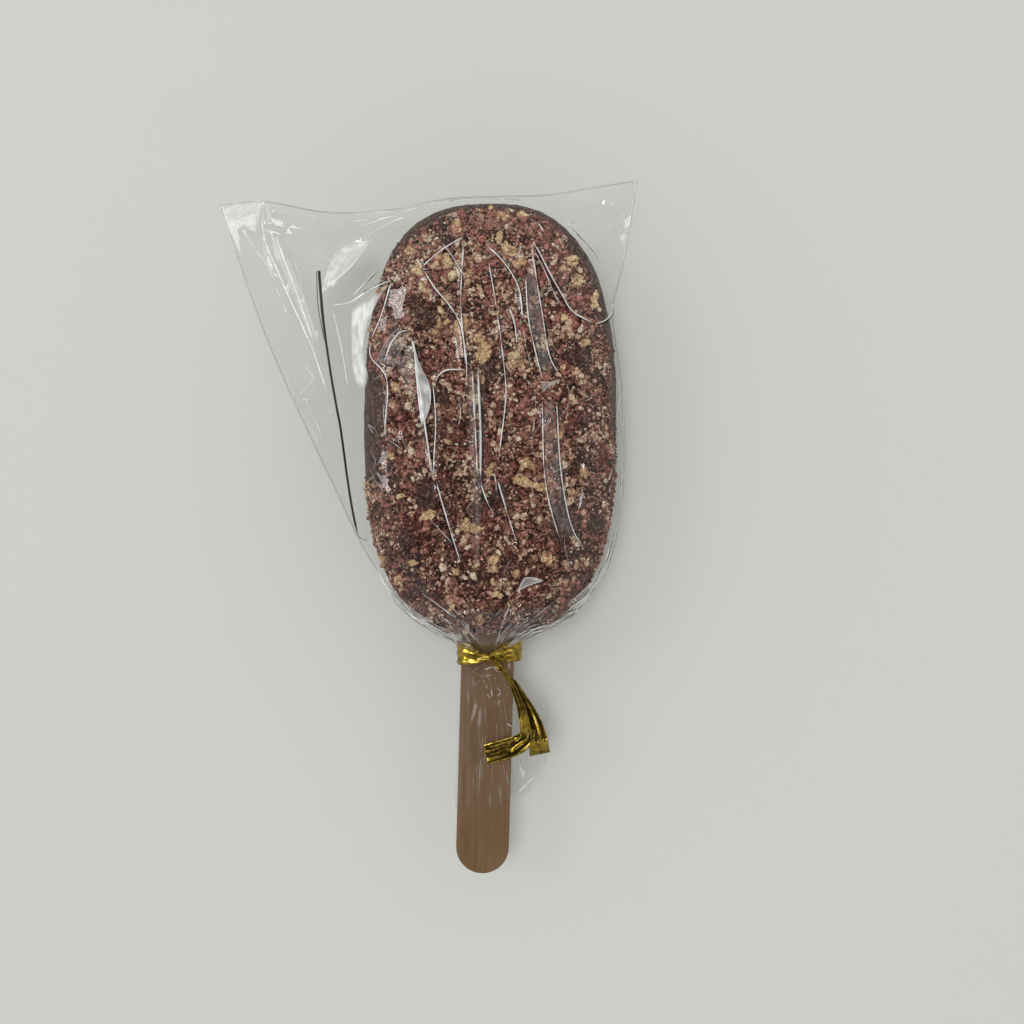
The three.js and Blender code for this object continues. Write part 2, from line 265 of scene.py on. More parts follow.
def chocolate_material():
    """Dull dark chocolate, grey-brown with cocoa dust and specked with the finest crumbs."""
    shader = Shader("chocolate")
    cloud_stops = [(0.3, (0.028, 0.012, 0.009)), (0.75, (0.075, 0.042, 0.036))]
    cloud = shader.ramp(shader.texture("Noise", 0.35, Detail=4), cloud_stops)
    speck_stops = [
        (0.0, (0.02, 0.009, 0.007)),
        (0.45, (0.045, 0.02, 0.016)),
        (0.62, (0.16, 0.062, 0.05)),
        (0.8, (0.34, 0.21, 0.15)),
    ]
    specks = shader.ramp(shader.texture("Voronoi", 2.6, "Color"), speck_stops)
    normal = shader.bump(shader.texture("Noise", 2.2, Detail=4), 0.7, 0.25)
    return shader.principled(shader.mix(0.5, cloud, specks), 0.6, 0.2, Normal=normal)


def crumb_material(name, stops, roughness):
    """Crumbs whose colour runs through stops by each crumb's own tone, mottled inside a crumb."""
    shader = Shader(name)
    tone = shader.node("Attribute", "Fac", attribute_name="tone")
    mottle = shader.texture("Noise", 2.4, Detail=3)
    shade = shader.ramp(mottle, [(0.36, (0.4, 0.33, 0.3)), (0.62, (1, 1, 1))])
    colour = shader.mix(1.0, shader.ramp(tone, stops), shade, "MULTIPLY")
    return shader.principled(colour, roughness, 0.12)


def wood_material():
    """Sanded wood with fine darker grain along the stick."""
    shader = Shader("stick_wood")
    place = shader.node("TexCoord", "Object")
    stretched = shader.node("Mapping", inputs={"Vector": place, "Scale": (1, 0.05, 1)})
    grain = shader.texture("Noise", 0.9, Detail=4, Distortion=1.0, Vector=stretched)
    stops = [(0.3, (0.185, 0.103, 0.05)), (0.5, (0.222, 0.129, 0.065)), (0.72, (0.255, 0.152, 0.08))]
    cloud = shader.texture("Noise", 0.07)
    tint = shader.ramp(cloud, [(0.35, (0.84, 0.82, 0.8)), (0.65, (1, 1, 1))])
    colour = shader.mix(1.0, shader.ramp(grain, stops), tint, "MULTIPLY")
    return shader.principled(colour, 0.6, 0.25, Normal=shader.bump(grain, 0.4, 0.12))


FLAT_MIRROR = 0.16  # how much more of a mirror film is when seen flat than when seen head on
MIRROR_POWER = 5.0  # how late that sets in
CREASE_ROUGHNESS = 0.6


def film_material(name, clear, mirror, roughness, veil=0.0):
    """Clear film: see-through head on, and more of a mirror the flatter it is seen.

    veil is how much of it is crumpled so finely that it looks white.
    """
    shader = Shader(name)
    facing = shader.node("LayerWeight", "Facing", {"Blend": 0.5})
    steep = shader.node("Math", inputs={0: facing, 1: MIRROR_POWER}, operation="POWER")
    terms = {0: steep, 1: FLAT_MIRROR, 2: mirror}
    share = shader.node("Math", inputs=terms, operation="MULTIPLY_ADD", use_clamp=True)
    sheet = shader.blend(share, shader.clear(*clear), shader.gloss(roughness))
    if veil:
        white = shader.node("BsdfDiffuse", inputs={"Color": (0.9, 0.9, 0.89, 1)})
        sheet = shader.blend(veil, sheet, white)
    return shader.finish(sheet)


def creased_film():
    """Creased or crumpled film, which reflects far more light than smooth film does."""
    shader = Shader("film_crease")
    return shader.by_shine(shader.gloss(CREASE_ROUGHNESS))


def painted_shade_material():
    """Painted shade: the dark line beside a sharp fold, a grey see-through colour that stands in for
    the fold's shading.
    """
    shader = Shader("film_painted_shade")
    return shader.by_shine(shader.clear(0.3, 0.29, 0.28))


def painted_shade_edge_material():
    """The film's edge: a grey see-through colour that paints the edge's shade, with a little real
    gloss.
    """
    shader = Shader("film_painted_shade_edge")
    return shader.finish(shader.blend(0.12, shader.clear(0.8, 0.81, 0.8), shader.gloss(0.15, 0.8)))


def painted_shade_seam_material():
    """The folded seam's dark line: a near-black colour that paints the shade of the fold in clear film.
    """
    shader = Shader("painted_shade_seam")
    stops = [(0.3, (0.012, 0.01, 0.014)), (0.7, (0.035, 0.032, 0.04))]
    return shader.principled(shader.ramp(shader.texture("Noise", 0.5), stops), 0.35)


def foil_material():
    """Gold foil with fine scratches in its bump, its colour darker in the bump's hollows and lighter on
    its ridges: painted shade and highlight.
    """
    shader = Shader("gold_foil")
    crinkle = shader.texture("Noise", 1.1, Detail=3)
    # the colour follows the bump's noise: painted shade in its hollows, painted highlight on its ridges
    colour = shader.ramp(crinkle, [(0.3, (0.14, 0.08, 0.004)), (0.7, (0.5, 0.35, 0.07))])
    normal = shader.bump(crinkle, 0.25, 0.12)
    return shader.principled(colour, 0.22, Metallic=1.0, Normal=normal)


def floor_material():
    return Shader("floor").principled((0.8, 0.81, 0.77, 1), 0.75, 0.1)


# ---- Cake ----


def outline(angle, half_width, half_length, power=OUTLINE_POWER):
    """Points of the rounded oblong with these half sizes."""
    cosine = np.cos(angle)
    sine = np.sin(angle)
    x = half_width * np.sign(cosine) * np.abs(cosine) ** (2 / power)
    y = half_length * np.sign(sine) * np.abs(sine) ** (2 / power)
    return x, y


OUTLINE_SAMPLES = 4001  # of the outline, to space points evenly along it


def even_angles(count):
    """Angles whose points lie evenly along the cake's outline."""
    angles = np.linspace(0, 2 * math.pi, OUTLINE_SAMPLES)
    x, y = outline(angles, HALF_WIDTH, HALF_LENGTH)
    along = running_sum(np.hypot(np.diff(x), np.diff(y)))
    return np.interp(np.linspace(0, along[-1], count + 1)[:-1], along, angles)


def outline_share(x, y, half_width, half_length):
    """1 on the oblong with these half sizes, less inside it and more outside."""
    total = np.abs(x / half_width) ** OUTLINE_POWER + np.abs(y / half_length) ** OUTLINE_POWER
    return total ** (1 / OUTLINE_POWER)


FARTHEST = 60.0  # farther outside the cake than any place
HALVINGS = 22  # of the range that an inset is sought in


def inset_at(x, y, grow):
    """How far points lie inside the cake's outline, when that has grown by grow."""
    low = np.full(np.shape(x), -FARTHEST)
    high = np.full(np.shape(x), HALF_WIDTH - 0.01)
    for _ in range(HALVINGS):
        middle = (low + high) / 2
        share = outline_share(x, y, HALF_WIDTH + grow - middle, HALF_LENGTH + grow - middle)
        low = np.where(share > 1, low, middle)
        high = np.where(share > 1, middle, high)
    return low


def rounding(inset, radius):
    """How far a rounded edge falls away where it lies this far inside the rim."""
    over = 1 - np.clip(inset / radius, 0, 1)
    return radius * (1 - np.sqrt(np.clip(1 - over * over, 0, 1)))


def face_height(x, y, inset, grow):
    """The face's height where it lies this far inside the outline."""
    share = outline_share(x, y, HALF_WIDTH + grow, HALF_LENGTH + grow)
    return CAKE_TOP + grow - rounding(inset - DRAFT, FRONT_RADIUS + grow) - CROWN * share**2


def back_height(inset, grow):
    """The underside's height where it lies this far inside the outline."""
    return CAKE_BASE - grow + rounding(inset, BACK_RADIUS + grow)


def unevenness(angle, level):
    """How far the cake bulges: small waves, and more at its far end and on its left."""
    waves = 0.6 * np.sin(3 * angle + 0.7) + 0.4 * np.sin(7 * angle + 4 * level) - 0.3
    far_end = 0.6 * np.exp(4 * (np.cos(angle - 0.53 * math.pi) - 1))
    left = 0.6 * np.exp(9 * (np.cos(angle - 1.02 * math.pi) - 1))
    return UNEVENNESS * waves + far_end + left


CAKE_COLUMNS = 340  # points round the cake
CAKE_STEP = 0.65  # between its rings of points
BACK_ARC, WALL_HEIGHT, FRONT_ARC = 4, 14, 13  # about how far the rings go over each part


def cake_surface(grow):
    """The coated cake's surface as rings of points, from the middle of its back to that of its face."""
    angles = even_angles(CAKE_COLUMNS)
    rings = []

    def add_ring(level, inset, share, height):
        lump = unevenness(angles, level)
        x, y = outline(angles, HALF_WIDTH + grow - inset + lump, HALF_LENGTH + grow - inset + lump)
        x, y = x * share, y * share
        z = height(x, y) if callable(height) else np.full(CAKE_COLUMNS, height)
        rings.append(np.stack([x, y, z], -1))

    back_radius = BACK_RADIUS + grow
    front_radius = FRONT_RADIUS + grow
    base = CAKE_BASE - grow
    for share in np.linspace(0.02, 1, int(HALF_WIDTH / CAKE_STEP) // 2)[:-1]:
        add_ring(0, back_radius, share, base)
    for turn in np.linspace(0, math.pi / 2, int(BACK_ARC / CAKE_STEP)):
        height = base + back_radius * (1 - math.cos(turn))
        add_ring(0, back_radius * (1 - math.sin(turn)), 1, height)
    foot = base + back_radius
    wall_steps = int(WALL_HEIGHT / CAKE_STEP)
    for k in range(1, wall_steps):
        up = k / wall_steps

        def wall_height(x, y, up=up):
            return foot + up * (face_height(x, y, DRAFT, grow) - foot)

        add_ring(up, DRAFT * up, 1, wall_height)
    for turn in np.linspace(0, math.pi / 2, int(FRONT_ARC / CAKE_STEP)):
        inset = DRAFT + front_radius * (1 - math.cos(turn))
        add_ring(1, inset, 1, lambda x, y, inset=inset: face_height(x, y, inset, grow))
    whole = DRAFT + front_radius
    for share in np.linspace(1, 0.01, int((HALF_WIDTH - whole) / CAKE_STEP * 1.6))[1:]:
        add_ring(1, whole, share, lambda x, y: face_height(x, y, whole, grow))
    return np.array(rings)


def surface_normals(rings):
    """Outward normals of a closed stack of rings."""
    around = np.roll(rings, -1, 1) - np.roll(rings, 1, 1)
    return units(np.cross(around, np.gradient(rings, axis=0)))


GRIT, FINE_GRIT = 0.16, 0.09  # how far the chocolate's unevenness reaches up and down


def make_cake(rings, material):
    """The chocolate under the crumbs, with a gritty skin."""
    flat = rings.reshape(-1, 3)
    relief = GRIT * noise_at(flat, 1.6) + FINE_GRIT * noise_at(flat, 0.7, 9.0)
    points = flat + surface_normals(rings).reshape(-1, 3) * relief[:, None]
    return mesh_piece("chocolate", points, grid_faces(*rings.shape[:2], wrap=True), material)


# ---- Crumbs ----


def ball(level):
    """A ball of 20, 80 or 320 triangles for level 1, 2 or 3."""
    shape = bmesh.new()
    bmesh.ops.create_icosphere(shape, subdivisions=level, radius=1)
    points = np.array([tuple(v.co) for v in shape.verts])
    faces = np.array([[v.index for v in f.verts] for f in shape.faces])
    shape.free()
    return points, faces


def eight_sided():
    """An octahedron, for the finest grains."""
    points = np.array([(1, 0, 0), (0, 1, 0), (-1, 0, 0), (0, -1, 0), (0, 0, 1), (0, 0, -1)], float)
    faces = [(k, (k + 1) % 4, 4) for k in range(4)] + [((k + 1) % 4, k, 5) for k in range(4)]
    return points, np.array(faces)


def broken(rng, solid, cuts, roughness):
    """A solid with an uneven surface, broken off flat on some sides at random."""
    points, faces = solid
    uneven = noise_at(points, 0.6, rng.uniform(0, 90)) + rng.normal(0, 0.35, len(points))
    shape = points * np.clip(1 + roughness * uneven, 0.6, 1.5)[:, None]
    for _ in range(cuts):
        side = units(rng.normal(size=3))
        over = np.maximum(shape @ side - rng.uniform(0.4, 0.8), 0)
        shape = shape - over[:, None] * side
    return shape * rng.uniform(0.6, 1.5, 3), faces


def random_turns(rng, count):
    """Rotation matrices spread evenly over all turns."""
    w, x, y, z = units(rng.normal(size=(count, 4))).T
    rows = [
        (1 - 2 * (y * y + z * z), 2 * (x * y - z * w), 2 * (x * z + y * w)),
        (2 * (x * y + z * w), 1 - 2 * (x * x + z * z), 2 * (y * z - x * w)),
        (2 * (x * z - y * w), 2 * (y * z + x * w), 1 - 2 * (x * x + y * y)),
    ]
    return np.stack([np.stack(row, -1) for row in rows], 1)


def scatter(rng, rings, weight, count):
    """Random places on the surface and their normals, as dense as weight says."""
    normals = surface_normals(rings)
    corner = rings[:-1]
    across = np.roll(rings, -1, 1)[:-1] - corner
    along = rings[1:] - corner
    area = np.linalg.norm(np.cross(across, along), axis=-1)
    chance = (area * weight).ravel()
    chosen = rng.choice(len(chance), count, p=chance / chance.sum())
    u, v = rng.uniform(size=(2, count, 1))
    across, along = across.reshape(-1, 3)[chosen], along.reshape(-1, 3)[chosen]
    places = corner.reshape(-1, 3)[chosen] + u * across + v * along
    return places, normals[:-1].reshape(-1, 3)[chosen]


def clumps(rng, rings, weight, count, each, spread):
    """Places in clumps of about each crumbs, with a tone that a clump's crumbs share."""
    centres, up = scatter(rng, rings, weight, max(count // each, 1))
    member = rng.integers(0, len(centres), count)
    offset = rng.normal(0, 1, (count, 3)) * spread * rng.uniform(0.5, 1.4, (count, 1))
    skin = Draped(rings, grid_faces(*rings.shape[:2], wrap=True))
    places, normals = skin.nearest(centres[member] + offset, up[member])
    # the tone rises towards +y, so crumbs are lighter towards the far end: painted light, as if lit
    # from that end
    tone = rng.uniform(0.18, 0.98, len(centres)) + 0.005 * centres[:, 1]
    tone = tone[member] + rng.normal(0, 0.17, count)
    return places, normals, np.clip(tone, 0, 1)


CRUMB_SHAPES = 16  # how many different shapes the crumbs of a piece have
CRUMB_FLATNESS = 0.85  # a crumb's height over its width
CRUMB_SUNK = 0.12  # how much of a crumb is sunk in the chocolate
THINNING = 3  # crumbs are left out at random where coverage is less than one over this


def crumb_piece(name, rng, solid, places, normals, sizes, tones, material):
    """Broken solids at places, joined into one piece."""
    kinds = [broken(rng, solid, 4, 0.3) for _ in range(CRUMB_SHAPES)]
    kind = rng.integers(0, len(kinds), len(places))
    kept = rng.uniform(size=len(places)) < THINNING * coverage(places)
    clear = kept & (places[:, 2] > sizes * 0.6 + 0.1)
    turns = random_turns(rng, len(places))
    sizes = sizes * (0.65 + 0.35 * np.clip(normals[:, 2], 0, 1))
    parts = []
    for k, (corners, triangles) in enumerate(kinds):
        mine = np.flatnonzero((kind == k) & clear)
        shapes = corners[None] * sizes[mine, None, None] / 2
        shapes = np.einsum("nij,nkj->nki", turns[mine], shapes)
        up = normals[mine][:, None]
        height = (shapes * up).sum(-1, keepdims=True)
        shapes = shapes - (1 - CRUMB_FLATNESS) * height * up
        lift = sizes[mine] * (CRUMB_FLATNESS / 2 - CRUMB_SUNK)
        shapes = shapes + (places[mine] + normals[mine] * lift[:, None])[:, None]
        starts = np.arange(len(mine))[:, None, None] * len(corners)
        faces = (triangles[None] + starts).reshape(-1, 3)
        parts.append((shapes.reshape(-1, 3), faces, np.repeat(tones[mine], len(corners))))
    return joined_piece(name, parts, material, "tone", smooth=False)


# Where the face's chocolate shows between the crumbs: place and radius
BARE_PATCHES = [
    (13.3, -19.5, 3.8),
    (17, -7.7, 3.0),
    (19, -20, 2.4),
    (-11.3, -14.8, 2.8),
    (1.7, -14.3, 2.6),
    (0, 8, 2.6),
    (16, 10.5, 2.8),
    (-12.9, 19.5, 2.8),
    (-8.4, 3, 2.2),
]


def coverage(points):
    """How thickly crumbs lie: thin on the walls, the far end, the left side and bare patches."""
    x, y, z = points[..., 0], points[..., 1], points[..., 2]
    flat = points.reshape(-1, 3)
    cloud = (noise_at(flat, 5.0, 3.0) + 0.5 * noise_at(flat, 1.7, 8.0)).reshape(x.shape)
    base = np.clip(0.85 + 0.004 * y + 0.85 * cloud, 0.1, 1.7)
    # each of these is 0 where crumbs lie as thickly as elsewhere, and 1 where few or none lie
    under = smoothstep(-z, -5, -2)
    wall = smoothstep(-z, -21.5, -18.5) * (0.4 + 0.58 * smoothstep(y, -22, 6))
    left = smoothstep(-x, 18.4, 20.0) * smoothstep(-y, -14, -7) * smoothstep(y, -15, -9)
    rim = smoothstep(-inset_at(x, y, 0.0), -4.9, -3.5)
    rim = rim * smoothstep(y, 10, 18) * smoothstep(x, -19, -14)
    bare = np.zeros(x.shape)
    for patch_x, patch_y, radius in BARE_PATCHES:
        reach = np.hypot(x - patch_x, y - patch_y) / radius * (1 + 0.5 * cloud)
        bare = np.maximum(bare, 1 - smoothstep(reach, 0.6, 1.1))
    thin = 1 - (1 - wall) * (1 - 0.96 * left) * (1 - 0.97 * rim) * (1 - 0.94 * bare)
    return base * (1 - thin) * (1 - 0.65 * under)


def redness(points):
    """From 0 to 1, how much berry lies there rather than biscuit."""
    flat = points.reshape(-1, 3)
    cloud = noise_at(flat, 4.5, 21.0) + 0.8 * noise_at(flat, 1.8, 40.0)
    return np.clip(0.45 + 0.6 * cloud, 0.08, 0.95).reshape(points.shape[:-1])


BITS_EACH = 9  # how many bits a biscuit piece consists of

# The biscuit pieces that stand out on the face: place, size across, size along and turn in degrees
FACE_PIECES = [
    (-1, 11.5, 3, 4, 5),
    (2.5, 35.5, 2.5, 2, 10),
    (6, 36.5, 2.5, 1.5, -20),
    (3.5, 29.5, 2, 2.5, 40),
    (2, 32, 1.5, 2, 0),
    (5.5, 27.5, 2.5, 2, 20),
    (15, 28, 2.5, 2, 15),
    (13.5, 26.5, 2, 1.5, 0),
    (16, 24.5, 3, 2, 20),
    (19, 21, 2, 3, 10),
    (-6, 34, 2, 2.5, 0),
    (-14, 30, 2, 2, 30),
    (-13, 26.5, 2, 2.5, 0),
    (-12, 23, 1.5, 2.5, 10),
    (-3.5, 25.5, 1.5, 2, -30),
    (17, 13, 2.5, 1.5, 30),
    (5.5, -11.5, 4, 2.5, -25),
    (8, -12.5, 2, 1.5, 0),
    (6.5, -8.5, 2, 2, 0),
    (-11.5, -18, 3.5, 2, 10),
    (-19.5, -26, 1.5, 2, 30),
    (-13.5, -26.5, 2, 1.5, 0),
    (-16.5, -29.5, 2, 2, 45),
    (-6, -28, 1.5, 1.5, 0),
    (10.5, -25.5, 2, 2.5, -10),
    (-4, -19.5, 2, 2, 50),
    (1, -27.5, 2, 1.5, 80),
    (12.5, -3.5, 1.5, 1.5, 0),
    (-17.5, -7, 1.5, 1.5, 20),
]


def make_face_pieces(rng, material):
    """The largest biscuit pieces, each a lump of finely broken bits."""
    parts = []
    for x, y, wide, long, turn in FACE_PIECES:
        along = heading(math.radians(turn))
        spin = np.array([(along[0], -along[1]), (along[1], along[0])])
        ground = float(face_height(x, y, inset_at(x, y, 0.0), 0.0))
        tone = rng.uniform(0.5, 1.0)
        for _ in range(BITS_EACH):
            points, triangles = broken(rng, ball(2), 4, 0.45)
            points = points @ random_turns(rng, 1)[0].T
            points = points * np.array([wide, long, 1.8]) / 2 * rng.uniform(0.4, 0.62)
            shift = rng.uniform(-0.3, 0.3, 2) * (wide, long)
            points[:, :2] = (points[:, :2] + shift) @ spin.T
            points = points + (x, y, ground + rng.uniform(-0.1, 0.3))
            bit_tone = np.clip(tone + rng.normal(0, 0.16), 0, 1)
            parts.append((points, triangles, np.full(len(points), bit_tone)))
    return joined_piece("biscuit_pieces", parts, material, "tone", smooth=False)


BISCUIT_STOPS = [
    (0.0, (0.2, 0.088, 0.062)),
    (0.35, (0.48, 0.262, 0.185)),
    (0.7, (0.83, 0.575, 0.415)),
    (1.0, (0.98, 0.86, 0.66)),
]
PIECE_STOPS = [(0.0, (0.5, 0.3, 0.17)), (0.6, (0.82, 0.57, 0.33)), (1.0, (0.96, 0.76, 0.47))]
BERRY_STOPS = [
    (0.0, (0.11, 0.034, 0.026)),
    (0.4, (0.3, 0.12, 0.094)),
    (0.75, (0.52, 0.24, 0.195)),
    (1.0, (0.6, 0.27, 0.22)),
]
GRIT_STOPS = [(0.0, (0.03, 0.013, 0.01)), (0.6, (0.08, 0.036, 0.028)), (1.0, (0.17, 0.095, 0.075))]


def make_coating(rings):
    """All the crumbs, each kind in grains, crumbs and chunks."""
    rng = np.random.default_rng(41)
    thick, red = coverage(rings[:-1]), redness(rings[:-1])
    biscuit = crumb_material("biscuit_crumb", BISCUIT_STOPS, 0.85)
    berry = crumb_material("berry_crumb", BERRY_STOPS, 0.8)
    grit = crumb_material("chocolate_grit", GRIT_STOPS, 0.6)
    pale = crumb_material("biscuit_piece", PIECE_STOPS, 0.85)
    tan_weight, red_weight = thick * (1.1 - red), thick * red
    dark_weight = 0.12 + 0.88 * thick
    # name, slot, material, solid, where, how many, size, spread of sizes, clump
    kinds = [
        ("biscuit_grains", "biscuit_crumb", biscuit, eight_sided(), tan_weight, 14500, 0.46, 0.25, 9),
        ("biscuit_crumbs", "biscuit_crumb", biscuit, ball(1), tan_weight, 4600, 0.76, 0.28, 5),
        ("biscuit_chunks", "biscuit_crumb", pale, ball(2), tan_weight, 130, 1.3, 0.22, 2),
        ("berry_grains", "berry_crumb", berry, eight_sided(), red_weight, 14500, 0.46, 0.25, 9),
        ("berry_crumbs", "berry_crumb", berry, ball(1), red_weight, 4600, 0.76, 0.28, 5),
        ("berry_chunks", "berry_crumb", berry, ball(2), red_weight, 90, 1.25, 0.22, 2),
        ("chocolate_grains", "coating", grit, eight_sided(), dark_weight, 9000, 0.48, 0.3, 4),
        ("chocolate_crumbs", "coating", grit, ball(1), dark_weight, 2000, 0.7, 0.16, 3),
    ]
    made = []
    for name, slot, material, solid, weight, count, size, spread, each in kinds:
        where, normals, tones = clumps(rng, rings, weight, count, each, 0.5 * size * each**0.5)
        sizes = size * np.exp(rng.normal(0, spread, count))
        piece = crumb_piece(name, rng, solid, where, normals, sizes, tones, material)
        made.append(piece)
    large = make_face_pieces(rng, pale)
    made.append(large)
    return made


# ---- Film bag ----

SPLINE_SAMPLES = 600  # of a line, to space points evenly along it


def spline(points, count):
    """A smooth line through points, as count points evenly along it."""
    points = np.asarray(points, float)
    knots = running_sum(steps(points) ** 0.5)
    slopes = np.gradient(points, knots, axis=0)
    where = np.linspace(0, knots[-1], SPLINE_SAMPLES)
    index = np.clip(np.searchsorted(knots, where, side="right") - 1, 0, len(points) - 2)
    gap = (knots[index + 1] - knots[index])[:, None]
    t = ((where - knots[index])[:, None]) / gap
    fine = (
        (2 * t**3 - 3 * t**2 + 1) * points[index]
        + (t**3 - 2 * t**2 + t) * gap * slopes[index]
        + (-2 * t**3 + 3 * t**2) * points[index + 1]
        + (t**3 - t**2) * gap * slopes[index + 1]
    )
    along = running_sum(steps(fine))
    even = np.linspace(0, along[-1], count)
    return np.stack([np.interp(even, along, fine[:, k]) for k in range(points.shape[1])], -1)


def neck_end(side):
    """Where a side edge of the bag runs into the tie."""
    x = NECK_MIDDLE_X + side * NECK_HALF_WIDTH
    return (x, NECK_Y + side * NECK_HALF_WIDTH * math.tan(NECK_TILT), STICK_Z)


FRONT_ROWS, FRONT_COLUMNS = 240, 224
BACK_ROWS, BACK_COLUMNS = 128, 104
CRUMPLED_ROWS = 56
CRUMPLED_COLUMNS = 26
GATHER_ROWS = 46  # how many of the front's rows the haze of pleats at the neck covers
FIRST_ROUNDS, LATER_ROUNDS, SOFTENING_ROUNDS = 500, 160, 6  # how often a sheet is relaxed
FOLD_POINTS = 24  # in each fold's line
FOLD_CREST = 0.25  # the radius of a fold's edge
FOLD_TAPER = 0.12  # the share of a fold over which it rises at each end
CREASE_STEP = 0.3  # between the points along a crease
FRONT_LOWEST, BACK_LOWEST = 0.3, 0.12  # how near the sheets may come to the table
BACK_CLEAR = 0.45  # how far below the cake's back the film lies
FILM_CLEAR = 1.1  # how far above the cake's mean surface the crumbs hold the film

LEFT_CORNER = (BAG_LOW[0], 43, 5)
RIGHT_CORNER = (BAG_HIGH[0], BAG_HIGH[1], 8)
TOP_EDGE = [
    LEFT_CORNER,
    (-43.8, 42.9, 8),
    (-32, 40.9, 8),
    (-20, 41, 9),
    (-8, 42.6, 11.5),
    (11, 43.2, 12),
    (18.5, 45, 9.5),
    RIGHT_CORNER,
]
LEFT_EDGE = [
    LEFT_CORNER,
    (-43.6, 15.6, 4.5),
    (-31.8, -10.5, 4),
    (-23.6, -27, 4),
    (-16.8, -35.4, 5),
    (-10, -39.9, 9),
    neck_end(-1),
]
RIGHT_EDGE = [
    RIGHT_CORNER,
    (25.6, 30.5, 7),
    (23.9, 22.3, 6),
    (25.8, 6, 5),
    (25.8, -14, 5),
    (22.3, -29.5, 4.5),
    (15.4, -36.6, 6),
    (9.6, -39.6, 9),
    neck_end(1),
]


def spanned_sheet(rows, columns):
    """The sheet that the bag's four edges span, as rows from the top edge to the neck."""
    left = spline(LEFT_EDGE, rows)[:, None]
    right = spline(RIGHT_EDGE, rows)[:, None]
    top = spline(TOP_EDGE, columns)[None]
    neck = spline([neck_end(-1), (*KNOT, STICK_Z), neck_end(1)], columns)[None]
    t = np.linspace(0, 1, rows)[:, None, None]
    s = np.linspace(0, 1, columns)[None, :, None]
    corners = (1 - t) * ((1 - s) * left[:1] + s * right[:1]) + t * (
        (1 - s) * left[-1:] + s * right[-1:]
    )
    return (1 - s) * left + s * right + (1 - t) * top + t * neck - corners


def resampled(values, rows, columns):
    """A grid of values, stretched to another size."""
    old_rows, old_columns = values.shape
    across = np.linspace(0, old_columns - 1, columns)
    wide = np.stack([np.interp(across, np.arange(old_columns), row) for row in values])
    along = np.linspace(0, old_rows - 1, rows)
    return np.stack([np.interp(along, np.arange(old_rows), wide[:, c]) for c in range(columns)], 1)


def relaxed(z):
    """For each inner point of a grid, the mean height of its four neighbours."""
    return (z[:-2, 1:-1] + z[2:, 1:-1] + z[1:-1, :-2] + z[1:-1, 2:]) / 4


def taut_sheet(side, limit, rows, columns):
    """One side of the bag, pulled taut between its edges as far as limit lets it.

    It starts on a grid of an eighth of the rows and columns, and doubles them three times.
    """
    heights = None
    for coarseness in (8, 4, 2, 1):
        sheet = spanned_sheet(rows // coarseness + 1, columns // coarseness + 1)
        s = np.linspace(0, 1, sheet.shape[1])
        sheet[-1, :, 2] += side * NECK_HALF_HEIGHT * np.sin(math.pi * s) ** 0.6
        z = sheet[..., 2].copy()
        if heights is not None:
            z[1:-1, 1:-1] = resampled(heights, *z.shape)[1:-1, 1:-1]
        keep_clear = limit(sheet[1:-1, 1:-1])
        for _ in range(FIRST_ROUNDS if heights is None else LATER_ROUNDS):
            z[1:-1, 1:-1] = keep_clear(relaxed(z))
        heights = z
    for _ in range(SOFTENING_ROUNDS):
        z[1:-1, 1:-1] = (z[1:-1, 1:-1] + relaxed(z)) / 2
    sheet[..., 2] = z
    return sheet


def over_cake(points):
    """Keeps a height above the crumbs."""
    x, y = points[..., 0], points[..., 1]
    inset = inset_at(x, y, FILM_CLEAR)
    floor = np.where(inset > DRAFT, face_height(x, y, inset, FILM_CLEAR), FRONT_LOWEST)
    return lambda z: np.maximum(z, floor)


def under_cake(points):
    """Keeps a height between the table and the cake's back."""
    x, y = points[..., 0], points[..., 1]
    inset = inset_at(x, y, BULGE)
    back = back_height(np.maximum(inset - BULGE, 0), BACK_CLEAR)
    ceiling = np.where(inset > 0, np.maximum(back, BACK_LOWEST + 0.08), BAG_HIGH[2])
    return lambda z: np.clip(z, BACK_LOWEST, ceiling)


def distance_to_line(x, y, points):
    """Each place's distance to a line through points, and how far along the line it is nearest."""
    best = np.full(x.shape, 1e9)
    share = np.zeros(x.shape)
    lengths = steps(points)
    before = 0.0
    for a, b, length in zip(points[:-1], points[1:], lengths):
        t = ((x - a[0]) * (b[0] - a[0]) + (y - a[1]) * (b[1] - a[1])) / max(length**2, 1e-9)
        t = np.clip(t, 0, 1)
        gap = np.hypot(x - a[0] - t * (b[0] - a[0]), y - a[1] - t * (b[1] - a[1]))
        nearer = gap < best
        best = np.where(nearer, gap, best)
        share = np.where(nearer, (before + t * length) / lengths.sum(), share)
        before += length
    return best, share


def near_part(sheet, line, reach):
    """Which of the sheet's points lie within a box round a line."""
    low, high = line.min(0) - reach, line.max(0) + reach
    x, y = sheet[..., 0], sheet[..., 1]
    return (x > low[0]) & (x < high[0]) & (y > low[1]) & (y < high[1])


def add_fold(sheet, points, height, width):
    """Raises a fold along a smooth line through points."""
    line = spline(points, FOLD_POINTS)
    near = near_part(sheet, line, 5 * width)
    gap, share = distance_to_line(sheet[near, 0], sheet[near, 1], line)
    sheet[near, 2] += height * faded(share, FOLD_TAPER, FOLD_TAPER) * ridge(gap, width, FOLD_CREST)
